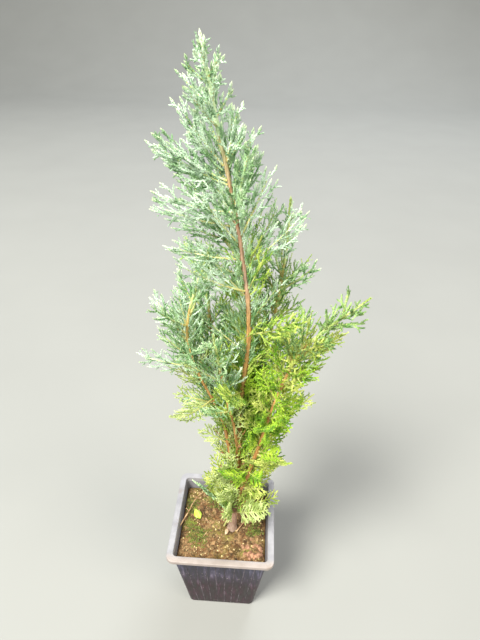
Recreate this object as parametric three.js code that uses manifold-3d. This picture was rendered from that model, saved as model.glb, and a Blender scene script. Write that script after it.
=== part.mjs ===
// A young potted thuja: a square nursery pot of soil, a leader with six side stems, and their sprays.
// Millimetres, +Z up, origin at the middle of the pot's flat underside, -Y towards the viewer.
import * as THREE from "three";
import { mergeVertices } from "three/addons/utils/BufferGeometryUtils.js";
import Module from "manifold-3d";

const wasm = await Module();
wasm.setup();

const GAP = 0.3; // left between pieces that touch on the real plant
const WELD = 0.03; // points nearer than this become one

const POT = {
  height: 90,
  rim: 90, // side of the square rim
  rimCorner: 6.5,
  rimBevel: 0.6,
  mouth: 81, // side of the wall just under the lip
  mouthCorner: 4,
  foot: 60, // side of the wall at the ground
  footCorner: 4.5,
  wall: 1,
  floor: 1.4,
  lipDrop: 3.6, // the lip turns out and down by this much
  lipThickness: 1.1,
  cornerSteps: 3,
};

const DRAIN = { radius: 3.6, inset: 17, sides: 10 }; // four holes in the pot's floor

const SOIL = {
  level: 80,
  edge: { level: 77.5, width: 1.5 }, // the soil has shrunk from the wall by this much
  lump: { height: 0.9, across: [20, 23], turned: [0.8, -0.5] },
  flatRadius: 9, // round the trunk's foot
  rings: 5,
};

const BARK = {
  flare: 1.45, // the root flare's width over the trunk's own
  flareHeight: 6,
  taper: 0.6, // below 1 the bark thins faster near the ground
  sides: 8,
  steps: 24,
  stemSides: 6,
  stemSteps: 11,
  pieces: 48, // that a stem's line is cut into to measure from
};

// The crown's outline: how far it reaches to each side of the pot's middle line at each height.
const CROWN = {
  heights: [90, 150, 200, 236, 258, 300, 340, 380, 410, 436, 463],
  left: [10, 23, 28, 33, 60, 52, 45, 43, 39, 29, 12],
  right: [24, 53, 58, 60, 64, 76, 64, 45, 19, 3, -5],
  depth: [14, 35, 45, 49, 51, 52, 46, 38, 30, 21, 6],
};

// Each stem is a smooth curve through its way points, and a side stem's starts inside the leader.
// radius is at its root and at its tip. bare is the share of the curve that is bark, up to where
// the green shoot of its tip takes over. Its sprays stand from one share of the curve to another.
// They fan out round the azimuth turn, opened from the stem by two angles from its root to its tip.
const LEADER = {
  name: "leader",
  way: [
    [7.7, -3.8, SOIL.level + GAP],
    [11.6, -4, 150],
    [12, -3.4, 225],
    [16.2, -3.2, 300],
    [6.6, -3.6, 374],
    [-4.6, -3.4, 426],
    [-11.7, -3, 463],
  ],
  radius: [3.2, 0.7],
  bare: 0.79,
  lowSprays: { count: 4, from: 0.03, to: 0.13, longest: 68, turn: 237, fan: 360, open: [48, 42] },
  sprays: { count: 18, from: 0.09, to: 0.775, longest: 58, turn: 330, fan: 360, open: [64, 54] },
  tip: { shoots: 10, longest: 40, blades: 5 },
};

const SIDE_STEMS = [
  {
    name: "right_stem",
    root: 0.09,
    way: [
      [24.5, -10, 182],
      [35, -13.6, 238],
      [50.5, -19.4, 294],
      [82.6, -31.1, 340.6],
    ],
    radius: [2, 0.7],
    bare: 0.78,
    sprays: { count: 8, from: 0.12, to: 0.76, longest: 36, turn: -20, fan: 230, open: [64, 50] },
    tip: { shoots: 6, longest: 22, blades: 5 },
  },
  {
    name: "left_stem",
    root: 0.1,
    way: [
      [0.5, -5.4, 210],
      [-17.5, -9.2, 265],
      [-22.9, -10.3, 304],
      [-8, -7.2, 357],
    ],
    radius: [1.9, 0.7],
    bare: 0.8,
    sprays: { count: 8, from: 0.12, to: 0.78, longest: 46, turn: 190, fan: 230, open: [68, 56] },
    tip: { shoots: 3, longest: 22, blades: 4 },
  },
  {
    name: "back_right_stem",
    root: 0.15,
    way: [
      [22.5, 5, 222],
      [30, 9.5, 278],
      [36.4, 13, 334],
      [37.5, 13.4, 379.6],
    ],
    radius: [1.7, 0.7],
    bare: 0.76,
    sprays: { count: 4, from: 0.22, to: 0.74, longest: 34, turn: 30, fan: 210, open: [56, 46] },
    tip: { shoots: 4, longest: 20, blades: 4 },
  },
  {
    name: "front_stem",
    root: 0.165,
    way: [
      [9.6, -11, 205],
      [3.5, -16, 244],
      [-1.5, -19, 276],
      [-5, -22, 303],
    ],
    radius: [1.5, 0.6],
    bare: 0.72,
    sprays: { count: 4, from: 0.24, to: 0.7, longest: 30, turn: 260, fan: 210, open: [56, 48] },
    tip: { shoots: 3, longest: 18, blades: 4 },
  },
  {
    name: "back_left_stem",
    root: 0.19,
    way: [
      [3.5, 6, 205],
      [-8, 12, 255],
      [-12, 15.5, 300],
      [-16, 18, 342],
    ],
    radius: [1.6, 0.7],
    bare: 0.74,
    sprays: { count: 3, from: 0.24, to: 0.72, longest: 34, turn: 145, fan: 210, open: [58, 48] },
    tip: { shoots: 3, longest: 22, blades: 4 },
  },
  {
    name: "back_stem",
    root: 0.24,
    way: [
      [14, 10, 205],
      [13, 19, 250],
      [9, 25, 294],
      [6, 29, 336],
    ],
    radius: [1.6, 0.7],
    bare: 0.74,
    sprays: { count: 3, from: 0.22, to: 0.72, longest: 34, turn: 90, fan: 210, open: [60, 48] },
    tip: { shoots: 3, longest: 22, blades: 4 },
  },
];

const GOLDEN_TURN = 137.5; // degrees from one spray on a stem to the next

const TWIG = {
  sides: 3,
  steps: 3,
  radius: [0.85, 0.45],
  lift: 0.16, // how far a twig's tip curves upwards, as a share of its length
  shortest: 12,
  shortestShoot: 6,
  lineSteps: 6,
  uneven: 0.12, // share by which the lengths differ
  crowding: 0.85, // below 1 the sprays stand closer together towards a stem's tip
  roll: 40, // degrees a spray's flat side is turned from level, at most
  onTip: [0.02, 0.78], // where the side shoots stand along a stem's green tip
  topmost: 0.4, // length of the topmost side shoot, over the lowest one's
  shootOpen: 48, // degrees a side shoot opens from its twig
  clearOfBark: 1.8,
  clearOfTwigs: 3.4,
  clearOfRim: [3, 1], // to the side of the pot's rim, and above it
  tries: 12,
  ownBark: 2, // of these, for which a twig may be near its own stem
};

// A blade is flat and keeled, and stands for a scaly branchlet with its own side shoots.
const BLADE = {
  width: 8,
  slimness: 0.42, // width over length, on the short ones
  thickness: 1.2,
  widest: 0.42,
  flatSpacing: 3.8, // along a twig with blades on two sides
  roundSpacing: 3, // along one with blades on four
  shootSpacing: 3.7, // along a side shoot
  angle: 44,
  uneven: [0.2, 0.15], // shares by which their lengths and angles differ
  from: 0.14, // of the way along its twig
  fromOnTip: 0.2,
  to: 0.95,
  lastFrom: 0.9, // where the one that ends its twig starts
  fewest: 3,
  narrowing: 0.6, // below 1 their lengths fall off late along the twig
  share: 0.44, // of its twig's length, for the longest
  shortest: 5,
  longest: 20,
  longestOnTip: 9,
  loose: 14, // degrees a blade stands out of its row
  flatBelow: 250, // the low sprays are flat, the rest stand all round their twigs
  cuts: [1, 0.72, 0.5], // shares of its length tried until it keeps to its spray's space
  ownSpace: 0.8, // it keeps this much nearer to its own mass's twigs than to any other's
};

const COLOURS = {
  pot: 0x2b2c2f,
  soil: 0x6b5136,
  leader: 0xa5633c,
  stem: 0xb07b46,
  blueGreen: 0xa9c7ac,
  green: 0x7fa04f,
};

const radians = THREE.MathUtils.degToRad;
const mix = THREE.MathUtils.lerp;
const smooth = THREE.MathUtils.smoothstep;
const vector = (p) => new THREE.Vector3(...p);
const UP = new THREE.Vector3(0, 0, 1);

// A seeded fraction from 0 to 1.
function chance(seed) {
  const s = Math.sin(seed * 12.9898 + 4.1414) * 43758.5453;
  return s - Math.floor(s);
}

function asSolid(geometry) {
  const bare = geometry.clone();
  bare.deleteAttribute("normal");
  bare.deleteAttribute("uv");
  const merged = mergeVertices(bare, 1e-4);
  return new wasm.Manifold(
    new wasm.Mesh({
      numProp: 3,
      vertProperties: new Float32Array(merged.attributes.position.array),
      triVerts: new Uint32Array(merged.index.array),
    }),
  );
}

function asGeometry(solid) {
  const { numProp, vertProperties, triVerts } = solid.getMesh();
  const points = new Float32Array((vertProperties.length / numProp) * 3);
  for (let i = 0; i < points.length / 3; i++) {
    points.set(vertProperties.subarray(i * numProp, i * numProp + 3), i * 3);
  }
  const geometry = new THREE.BufferGeometry();
  geometry.setAttribute("position", new THREE.BufferAttribute(points, 3));
  geometry.setIndex(new THREE.BufferAttribute(triVerts, 1));
  geometry.computeVertexNormals();
  return geometry;
}

function named(name, geometry, colour, roughness) {
  const material = new THREE.MeshStandardMaterial({ color: colour, roughness, metalness: 0 });
  const mesh = new THREE.Mesh(geometry, material);
  mesh.name = name;
  return mesh;
}

// The corners' arcs of a rounded square, anticlockwise, at one height.
function squareRing(side, corner, z, centre = [0, 0]) {
  const ring = [];
  const flat = side / 2 - corner;
  for (let quarter = 0; quarter < 4; quarter++) {
    const middle = (quarter + 0.5) * 90;
    const cx = Math.sign(Math.cos(radians(middle))) * flat + centre[0];
    const cy = Math.sign(Math.sin(radians(middle))) * flat + centre[1];
    for (let step = 0; step <= POT.cornerSteps; step++) {
      const angle = radians((quarter + step / POT.cornerSteps) * 90);
      ring.push(new THREE.Vector3(cx + corner * Math.cos(angle), cy + corner * Math.sin(angle), z));
    }
  }
  return ring;
}

// Joins rings of equal length into one closed skin, capped flat at both ends.
function loft(rings) {
  const count = rings[0].length;
  const points = rings.flat().flatMap((p) => p.toArray());
  const index = [];
  for (let r = 0; r + 1 < rings.length; r++) {
    for (let i = 0; i < count; i++) {
      const [a, b] = [r * count + i, r * count + ((i + 1) % count)];
      index.push(a, b, b + count, a, b + count, a + count);
    }
  }
  const last = (rings.length - 1) * count;
  for (let i = 1; i + 1 < count; i++) {
    index.push(0, i + 1, i, last, last + i, last + i + 1);
  }
  const geometry = new THREE.BufferGeometry();
  geometry.setAttribute("position", new THREE.Float32BufferAttribute(points, 3));
  geometry.setIndex(index);
  return geometry;
}

// The side and corner radius of the pot's outer wall at a height, less a distance inwards.
function wallAt(z, inwards = 0) {
  const share = z / (POT.height - POT.lipThickness);
  const corner = mix(POT.footCorner, POT.mouthCorner, share);
  return [mix(POT.foot, POT.mouth, share) - 2 * inwards, corner - inwards];
}

function makePot() {
  const under = POT.height - POT.lipThickness;
  const hem = POT.height - POT.lipDrop;
  const skirtCorner = POT.rimCorner - POT.lipThickness;
  const skirtSide = POT.rim - 2 * POT.lipThickness;
  const shell = asSolid(
    loft([
      squareRing(...wallAt(0), 0),
      squareRing(...wallAt(under), under),
      squareRing(skirtSide, skirtCorner, under),
      squareRing(skirtSide, skirtCorner, hem),
      squareRing(POT.rim, POT.rimCorner, hem),
      squareRing(POT.rim, POT.rimCorner, POT.height - POT.rimBevel),
      squareRing(POT.rim - 2 * POT.rimBevel, POT.rimCorner - POT.rimBevel, POT.height),
      squareRing(...wallAt(POT.height, POT.wall), POT.height),
      squareRing(...wallAt(POT.floor, POT.wall), POT.floor),
    ]),
  );
  const holes = [1, -1].flatMap((x) =>
    [1, -1].map((y) => {
      const hole = new THREE.CylinderGeometry(DRAIN.radius, DRAIN.radius, 4 * POT.floor, DRAIN.sides);
      return asSolid(hole.rotateX(Math.PI / 2).translate(x * DRAIN.inset, y * DRAIN.inset, 0));
    }),
  );
  return named("pot", asGeometry(shell.subtract(wasm.Manifold.union(holes))), COLOURS.pot, 0.55);
}

// Low lumps, level round the trunk's foot.
function soilHeight(x, y) {
  const { height, across, turned } = SOIL.lump;
  const [footX, footY] = LEADER.way[0];
  const away = smooth(Math.hypot(x - footX, y - footY), SOIL.flatRadius, 2 * SOIL.flatRadius);
  const [alongX, alongY] = [x, y].map((v, i) => (2 * Math.PI * v) / across[i] + turned[i]);
  return SOIL.level + away * height * Math.sin(alongX) * Math.cos(alongY);
}

function makeSoil() {
  const inside = POT.wall + GAP;
  const bottom = POT.floor + GAP;
  const [edgeSide, edgeCorner] = wallAt(SOIL.edge.level, inside);
  const rings = [squareRing(...wallAt(bottom, inside), bottom)];
  rings.push(squareRing(edgeSide, edgeCorner, SOIL.edge.level));
  const [footX, footY] = LEADER.way[0];
  for (let k = 1; k <= SOIL.rings; k++) {
    const share = k / SOIL.rings;
    const side = mix(edgeSide - 2 * SOIL.edge.width, Math.SQRT2 * SOIL.flatRadius, share);
    const corner = Math.min(edgeCorner, side / 2 - SOIL.edge.width);
    const ring = squareRing(side, corner, SOIL.level, [share * footX, share * footY]);
    ring.forEach((p) => p.setZ(soilHeight(p.x, p.y)));
    rings.push(ring);
  }
  return named("soil", loft(rings), COLOURS.soil, 0.95);
}

const curveThrough = (points) => new THREE.CatmullRomCurve3(points.map(vector), false, "catmullrom", 0.5);

// A tapering limb: a cylinder bent along a curve, from one share of it to another.
function limb({ curve, from, to, radiusAt, sides, steps, across, rootOut }) {
  const geometry = new THREE.CylinderGeometry(1, 1, 1, sides, steps);
  const position = geometry.getAttribute("position");
  const rings = [];
  let side = across.clone();
  for (let k = 0; k <= steps; k++) {
    const share = mix(from, to, k / steps);
    const along = k === 0 && rootOut ? rootOut.clone() : curve.getTangent(share);
    side = side.clone().addScaledVector(along, -side.dot(along)).normalize();
    const other = new THREE.Vector3().crossVectors(side, along);
    rings.push({ centre: curve.getPoint(share), side, other, radius: radiusAt(share) });
  }
  for (let i = 0; i < position.count; i++) {
    const { centre, side: a, other: b, radius } = rings[Math.round((position.getY(i) + 0.5) * steps)];
    const p = centre.clone();
    p.addScaledVector(a, radius * position.getX(i)).addScaledVector(b, radius * position.getZ(i));
    position.setXYZ(i, p.x, p.y, p.z);
  }
  return geometry;
}

// The stems' curves and radii. A side stem's curve starts on the leader's middle line.
const leader = { ...LEADER, curve: curveThrough(LEADER.way) };
const stems = [
  leader,
  ...SIDE_STEMS.map((stem) => ({
    ...stem,
    curve: curveThrough([leader.curve.getPoint(stem.root).toArray(), ...stem.way]),
  })),
];

for (const stem of stems) {
  const [thick, thin] = stem.radius;
  stem.radiusAt = (share) => {
    const bare = mix(thick, thin, share ** BARK.taper);
    const height = stem.curve.getPoint(share).z - SOIL.level;
    const flare = stem === leader ? (BARK.flare - 1) * Math.exp(-height / BARK.flareHeight) : 0;
    return bare * (1 + flare);
  };
}

function stemSolid(stem, grown = 0) {
  const isLeader = stem === leader;
  return asSolid(
    limb({
      curve: stem.curve,
      from: 0,
      to: stem.bare,
      radiusAt: (share) => stem.radiusAt(share) + grown,
      sides: isLeader ? BARK.sides : BARK.stemSides,
      steps: isLeader ? BARK.steps : BARK.stemSteps,
      across: new THREE.Vector3(1, 0, 0),
      rootOut: isLeader ? UP : null,
    }),
  );
}

function makeStems() {
  const keptClear = stemSolid(leader, GAP);
  return stems.map((stem) => {
    const whole = stemSolid(stem);
    const solid = stem === leader ? whole : largest(whole.subtract(keptClear));
    const colour = stem === leader ? COLOURS.leader : COLOURS.stem;
    return named(stem.name, asGeometry(solid), colour, 0.85);
  });
}

// The largest body, with points that nearly meet made one.
function largest(solid) {
  const bodies = solid.simplify(WELD).decompose();
  return bodies.reduce((a, b) => (b.volume() > a.volume() ? b : a));
}

// A value of the crown's outline between the heights it is given at.
function atHeight(values, z) {
  const { heights } = CROWN;
  const k = Math.max(0, heights.findLastIndex((height, i) => z >= height && i + 1 < heights.length));
  return mix(values[k], values[k + 1], (z - heights[k]) / (heights[k + 1] - heights[k]));
}

// The crown's cut at each height is an ellipse between its left, right, front and back.
function insideCrown(p) {
  if (p.z > CROWN.heights.at(-1)) return false;
  const [left, right, depth] = [CROWN.left, CROWN.right, CROWN.depth].map((side) => atHeight(side, p.z));
  const across = (2 * p.x - right + left) / (right + left);
  return Math.hypot(across, (p.y - LEADER.way[0][1]) / depth) < 1;
}

const twigEnd = (root, way, length) =>
  root.clone().addScaledVector(way, length).addScaledVector(UP, TWIG.lift * length);

// How long a twig can be before it leaves the crown.
function roomInCrown(root, way, shortest, longest) {
  let length = shortest;
  while (length < longest && insideCrown(twigEnd(root, way, length))) length += 1;
  return length;
}

// The twig's line curves up towards the light.
function twigCurve(root, way, length) {
  const bend = root.clone().addScaledVector(way, length / 2);
  return new THREE.QuadraticBezierCurve3(root, bend, twigEnd(root, way, length));
}

function lineOf({ curve }) {
  return Array.from({ length: TWIG.lineSteps + 1 }, (_, k) => curve.getPoint(k / TWIG.lineSteps));
}

function distanceToLines(point, lines) {
  let nearest = Infinity;
  const closest = new THREE.Vector3();
  for (const line of lines) {
    for (let k = 0; k + 1 < line.length; k++) {
      new THREE.Line3(line[k], line[k + 1]).closestPointToPoint(point, true, closest);
      nearest = Math.min(nearest, closest.distanceTo(point));
    }
  }
  return nearest;
}

const barkLines = stems.map((stem) => {
  const shares = Array.from({ length: BARK.pieces + 1 }, (_, k) => (k / BARK.pieces) * stem.bare);
  const line = shares.map((share) => ({ p: stem.curve.getPoint(share), radius: stem.radiusAt(share) }));
  return { stem, line };
});

// How far a point is from the bark of the nearest stem, the spared one left out.
function barkDistance(point, spared) {
  let nearest = Infinity;
  for (const { stem, line } of barkLines) {
    if (stem === spared) continue;
    for (let k = 0; k + 1 < line.length; k++) {
      nearest = Math.min(nearest, distanceToLines(point, [[line[k].p, line[k + 1].p]]) - line[k].radius);
    }
  }
  return nearest;
}

// True over the soil or outside the pot, where foliage can be.
function clearOfPot(point, radius) {
  const [beside, above] = TWIG.clearOfRim;
  const overPot = Math.max(Math.abs(point.x), Math.abs(point.y)) < POT.rim / 2 + beside;
  return !overPot || point.z > POT.height + radius + above;
}

// The twig cut to where it would near the pot, some bark or another mass, or nothing.
function settled(twig, masses, shortest) {
  const whole = twigCurve(twig.root, twig.way, twig.length);
  let free = 0;
  for (let k = 0; k <= TWIG.tries; k++) {
    const p = whole.getPoint(k / TWIG.tries);
    const clear = k === 0 ? TWIG.radius[0] + GAP : TWIG.clearOfBark;
    if (barkDistance(p, k <= TWIG.ownBark ? twig.stem : null) < clear) break;
    if (distanceToLines(p, masses.flatMap((mass) => mass.lines)) < TWIG.clearOfTwigs) break;
    if (!clearOfPot(p, TWIG.clearOfBark)) break;
    free = k / TWIG.tries;
  }
  if (free * twig.length < shortest) return [];
  return [{ ...twig, curve: twigCurve(twig.root, twig.way, free * twig.length) }];
}

// A twig that opens from a curve at a share of it, towards the side out.
function twigOn({ stem, curve, share, out, opened, shortest, longest, seed, gap }) {
  const along = curve.getTangent(share);
  const square = out.clone().addScaledVector(along, -out.dot(along)).normalize();
  const way = along.clone().multiplyScalar(Math.cos(radians(opened)));
  way.addScaledVector(square, Math.sin(radians(opened)));
  const root = curve.getPoint(share).addScaledVector(square, gap);
  const length = roomInCrown(root, way, shortest, longest) * mix(1 - TWIG.uneven, 1, chance(seed));
  return { stem, seed, root, way, length, across: along, rootOut: square, radius: TWIG.radius };
}

const atAzimuth = (turn) => new THREE.Vector3(Math.cos(radians(turn)), Math.sin(radians(turn)), 0);

// Level and square to a twig, turned round it.
function besideTwig(along, turn) {
  return new THREE.Vector3().crossVectors(along, UP).normalize().applyAxisAngle(along, radians(turn));
}

const rollOf = (seed) => mix(-TWIG.roll, TWIG.roll, chance(seed + 0.37));

// The sprays that stand on a stem's bark, each a mass of one twig.
function sprayMasses(stem, sprays, masses) {
  const { count, from, to, longest, turn, fan, open } = sprays;
  for (let i = 0; i < count; i++) {
    const rise = (i + 0.5) / count;
    const share = mix(from, to, rise ** TWIG.crowding);
    const seed = stem.name.length * 7 + turn + i;
    const gap = stem.radiusAt(share) + GAP;
    const out = atAzimuth(turn + fan * (((GOLDEN_TURN * i) % 360) / 360 - 0.5));
    const [shortest, opened] = [TWIG.shortest, mix(...open, rise)];
    const twig = twigOn({ stem, curve: stem.curve, share, out, opened, shortest, longest, seed, gap });
    const twigs = settled(twig, masses, shortest);
    if (twigs.length) masses.push({ stem, twigs, lines: twigs.map(lineOf) });
  }
}

// The green shoot that carries on along its stem's own curve, with side shoots all round it.
function tipMass(stem, masses) {
  const along = stem.curve.getTangent(stem.bare);
  const root = stem.curve.getPoint(stem.bare).addScaledVector(along, GAP);
  const way = [1, 2, 3].map((third) => stem.curve.getPoint(mix(stem.bare, 1, third / 3)));
  const curve = curveThrough([root, ...way].map((p) => p.toArray()));
  const seed = stem.name.length * 7 + 90;
  const radius = [stem.radiusAt(stem.bare), TWIG.radius[1]];
  const across = new THREE.Vector3(1, 0, 0);
  const twigs = [{ stem, seed, curve, across, rootOut: along, radius, isTip: true }];
  const { shoots } = stem.tip;
  for (let i = 0; i < shoots; i++) {
    const share = mix(...TWIG.onTip, (i + 0.5) / shoots);
    const out = atAzimuth(GOLDEN_TURN * (i + stem.name.length));
    const longest = stem.tip.longest * mix(1, TWIG.topmost, share);
    const shortest = stem === leader ? TWIG.shortestShoot : longest; // side stems leave the crown
    const size = { opened: TWIG.shootOpen, shortest, longest, gap: 0 };
    const shoot = twigOn({ stem, curve, share, out, seed: seed + i, ...size });
    twigs.push(...settled({ ...shoot, isShoot: true }, masses, TWIG.shortestShoot));
  }
  masses.push({ stem, isTip: true, twigs, lines: twigs.map(lineOf) });
}

// A blade's half width and half thickness, as the ways to its edges.
function bladeWidth({ root, end, flat }) {
  const along = end.clone().sub(root);
  const length = along.length();
  along.normalize();
  const side = flat.clone().addScaledVector(along, -flat.dot(along)).normalize();
  const up = new THREE.Vector3().crossVectors(side, along);
  side.multiplyScalar(Math.min(BLADE.width, BLADE.slimness * length) / 2);
  up.multiplyScalar(BLADE.thickness / 2);
  return { side, up };
}

// Two three-sided points, base to base at the blade's widest place.
function bladeSolid(blade) {
  const { root, end } = blade;
  const { side, up } = bladeWidth(blade);
  const geometry = new THREE.CylinderGeometry(0, 0, 1, 3, 2);
  const { position, uv } = geometry.attributes;
  for (let i = 0; i < position.count; i++) {
    const angle = 2 * Math.PI * uv.getX(i);
    const atWidest = Math.abs(uv.getY(i) - 0.5) < 0.25;
    const p = root.clone().lerp(end, atWidest ? BLADE.widest : uv.getY(i));
    if (atWidest) p.addScaledVector(side, Math.sin(angle)).addScaledVector(up, Math.cos(angle));
    position.setXYZ(i, p.x, p.y, p.z);
  }
  return asSolid(geometry);
}

// The blades stand in two rows on a low spray's twig, in four on the others, and in a spiral on
// the shoot of a stem's tip.
function bladePlan({ curve, seed, stem, isShoot, isTip }) {
  const length = curve.getLength();
  const isFlat = curve.getPoint(0).z < BLADE.flatBelow;
  const spacing = isShoot ? BLADE.shootSpacing : isFlat ? BLADE.flatSpacing : BLADE.roundSpacing;
  const count = isTip ? stem.tip.blades : Math.max(BLADE.fewest, Math.round(length / spacing));
  const longest = isTip ? BLADE.longestOnTip : Math.min(BLADE.longest, BLADE.share * length);
  const [unevenLength, unevenAngle] = BLADE.uneven;
  const plan = [];
  for (let j = 0; j < count; j++) {
    const share = mix(isTip ? BLADE.fromOnTip : BLADE.from, BLADE.to, j / (count - 1));
    const along = curve.getTangent(share);
    const row = isFlat ? 180 * j : 180 * j + 90 * (Math.floor(j / 2) % 2);
    const loose = BLADE.loose * mix(-1, 1, chance(seed + j * 1.7));
    const side = besideTwig(along, rollOf(seed) + loose + (isTip ? GOLDEN_TURN * (j + 0.5) : row));
    const angle = radians(BLADE.angle * mix(1 - unevenAngle, 1 + unevenAngle, chance(seed + j * 2.3)));
    const way = along.clone().multiplyScalar(Math.cos(angle)).addScaledVector(side, Math.sin(angle));
    const uneven = mix(1 - unevenLength, 1 + unevenLength, chance(seed + j * 3.1));
    const size = longest * (1 - share) ** BLADE.narrowing * uneven + BLADE.shortest;
    const root = curve.getPoint(share);
    plan.push({ root, end: root.clone().addScaledVector(way, size), flat: side });
  }
  const ahead = curve.getTangent(1);
  const end = curve.getPoint(1).addScaledVector(ahead, BLADE.shortest);
  plan.push({ root: curve.getPoint(BLADE.lastFrom), end, flat: besideTwig(ahead, rollOf(seed)) });
  return plan;
}

// A blade's outline: its tip, and both edges at its widest and halfway on to the tip.
function outlineOf(blade) {
  const { root, end } = blade;
  const { side } = bladeWidth(blade);
  const points = [end];
  for (const [share, width] of [[BLADE.widest, 1], [(1 + BLADE.widest) / 2, 0.5]]) {
    const middle = root.clone().lerp(end, share);
    points.push(middle.clone().addScaledVector(side, width));
    points.push(middle.clone().addScaledVector(side, -width));
  }
  return points;
}

// The blade at the longest cut that keeps to its mass's space, or none.
function cutToSpace(blade, own, others) {
  for (const cut of BLADE.cuts) {
    const tried = { ...blade, end: blade.root.clone().lerp(blade.end, cut) };
    const fits = outlineOf(tried).every(
      (p) =>
        clearOfPot(p, BLADE.thickness) &&
        barkDistance(p) > BLADE.thickness / 2 + GAP &&
        distanceToLines(p, others) - distanceToLines(p, own) > BLADE.ownSpace,
    );
    if (fits) return [tried];
  }
  return [];
}

function makeMass(mass, masses, name) {
  const others = masses.filter((other) => other !== mass).flatMap((other) => other.lines);
  const solids = mass.twigs.flatMap((twig) => {
    const stalk = limb({
      curve: twig.curve,
      from: 0,
      to: 1,
      radiusAt: (share) => mix(...twig.radius, share),
      sides: TWIG.sides,
      steps: TWIG.steps,
      across: twig.across,
      rootOut: twig.rootOut,
    });
    const blades = bladePlan(twig).flatMap((blade) => cutToSpace(blade, mass.lines, others));
    return [asSolid(stalk), ...blades.map(bladeSolid)];
  });
  const colour = mass.lines[0][0].z > BLADE.flatBelow ? COLOURS.blueGreen : COLOURS.green;
  return named(name, asGeometry(largest(wasm.Manifold.union(solids))), colour, 0.8);
}

function makeMasses() {
  const masses = [];
  stems.forEach((stem) => tipMass(stem, masses));
  sprayMasses(leader, LEADER.lowSprays, masses);
  stems.forEach((stem) => sprayMasses(stem, stem.sprays, masses));
  const counts = new Map();
  return masses.map((mass) => {
    const part = mass.stem.name.replace("_stem", "");
    if (mass.isTip) return makeMass(mass, masses, `${part}_tip_foliage`);
    counts.set(part, (counts.get(part) ?? 0) + 1);
    return makeMass(mass, masses, `${part}_foliage_${counts.get(part)}`);
  });
}

const plant = new THREE.Group();
plant.add(makePot(), makeSoil(), ...makeStems(), ...makeMasses());

export default plant;
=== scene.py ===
from functools import partial
from math import copysign, cos, exp, floor, hypot, pi, radians, sin

import bpy
import numpy as np
from mathutils import Matrix, Vector, noise


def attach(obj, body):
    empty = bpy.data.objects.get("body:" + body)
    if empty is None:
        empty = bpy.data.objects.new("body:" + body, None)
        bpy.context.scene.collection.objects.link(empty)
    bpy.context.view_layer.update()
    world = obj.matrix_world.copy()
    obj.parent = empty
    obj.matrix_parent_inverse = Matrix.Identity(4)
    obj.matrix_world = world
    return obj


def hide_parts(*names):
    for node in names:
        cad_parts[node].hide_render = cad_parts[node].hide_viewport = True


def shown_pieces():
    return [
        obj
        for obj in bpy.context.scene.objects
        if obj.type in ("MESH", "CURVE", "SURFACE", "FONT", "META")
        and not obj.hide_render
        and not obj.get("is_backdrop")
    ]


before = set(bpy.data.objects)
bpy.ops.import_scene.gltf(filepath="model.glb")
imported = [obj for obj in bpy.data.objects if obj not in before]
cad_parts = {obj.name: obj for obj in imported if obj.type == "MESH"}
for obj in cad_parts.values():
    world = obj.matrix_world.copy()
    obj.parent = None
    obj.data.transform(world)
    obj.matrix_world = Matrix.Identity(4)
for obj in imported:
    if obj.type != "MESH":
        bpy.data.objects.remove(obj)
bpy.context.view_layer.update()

# A young potted conifer. Sizes are in millimetres, turned to metres where a mesh is made.
mm = 0.001


def linear(hexColour):
    # sRGB hex to linear light
    parts = [int(hexColour[i:i + 2], 16) / 255 for i in (1, 3, 5)]
    return [*(c / 12.92 if c <= 0.04045 else ((c + 0.055) / 1.055) ** 2.4 for c in parts), 1]


def addNode(tree, kind, inputs=(), stops=(), **settings):
    # one node with its settings; an input takes a value, a hex colour, or the node or socket
    # that feeds it, and stops are a ramp's (position, hex)
    node = tree.nodes.new(kind)
    for name, value in settings.items():
        setattr(node, name, value)
    for socket, value in dict(inputs).items():
        if isinstance(value, bpy.types.Node):
            value = next(output for output in value.outputs if output.enabled)
        if isinstance(value, bpy.types.NodeSocket):
            tree.links.new(value, node.inputs[socket])
        else:
            isHex = isinstance(value, str) and value.startswith("#")
            node.inputs[socket].default_value = linear(value) if isHex else value
    if stops:
        elements = node.color_ramp.elements
        while len(elements) < len(stops):
            elements.new(1)
        for element, (position, colour) in zip(elements, stops):
            element.position, element.color = position, linear(colour)
    return node


def newObject(name, data):
    obj = bpy.data.objects.new(name, data)
    bpy.context.scene.collection.objects.link(obj)
    return obj


def meshObject(name, points, faces=(), edges=(), smooth=False):
    # points in millimetres
    mesh = bpy.data.meshes.new(name)
    mesh.from_pydata(np.asarray(points, float) * mm, edges, faces)
    mesh.update()
    for face in mesh.polygons:
        face.use_smooth = smooth
    return newObject(name, mesh)


def setValues(obj, **values):
    # named numbers or directions, one to a point
    for name, value in values.items():
        value = np.asarray(value, float)
        kind, field = ("FLOAT_VECTOR", "vector") if value.ndim > 1 else ("FLOAT", "value")
        obj.data.attributes.new(name, kind, "POINT").data.foreach_set(field, value.ravel())


def finishPiece(obj, material, nodes=()):
    # one material, riding on the only body, standing for its solids
    if material:
        obj.data.materials.clear()
        obj.data.materials.append(material)
    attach(obj, "root")
    if nodes:
        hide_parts(*nodes)


def evaluated(obj, name):
    # the object with its modifiers made real, as a new plain object, and the old one gone
    bpy.context.view_layer.update()
    mesh = bpy.data.meshes.new_from_object(obj.evaluated_get(bpy.context.evaluated_depsgraph_get()))
    mesh.name = name
    bpy.data.objects.remove(obj)
    return newObject(name, mesh)


def newTree(name, **kinds):
    # a Geometry Nodes tree with named inputs, and what adds a node to it
    tree = bpy.data.node_groups.new(name, "GeometryNodeTree")
    for label, kind in {"Geometry": "Geometry", **kinds, "material": "Material"}.items():
        tree.interface.new_socket(name=label, in_out="INPUT", socket_type="NodeSocket" + kind)
    tree.interface.new_socket(name="Geometry", in_out="OUTPUT", socket_type="NodeSocketGeometry")
    return tree, partial(addNode, tree), addNode(tree, "NodeGroupInput").outputs


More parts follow.
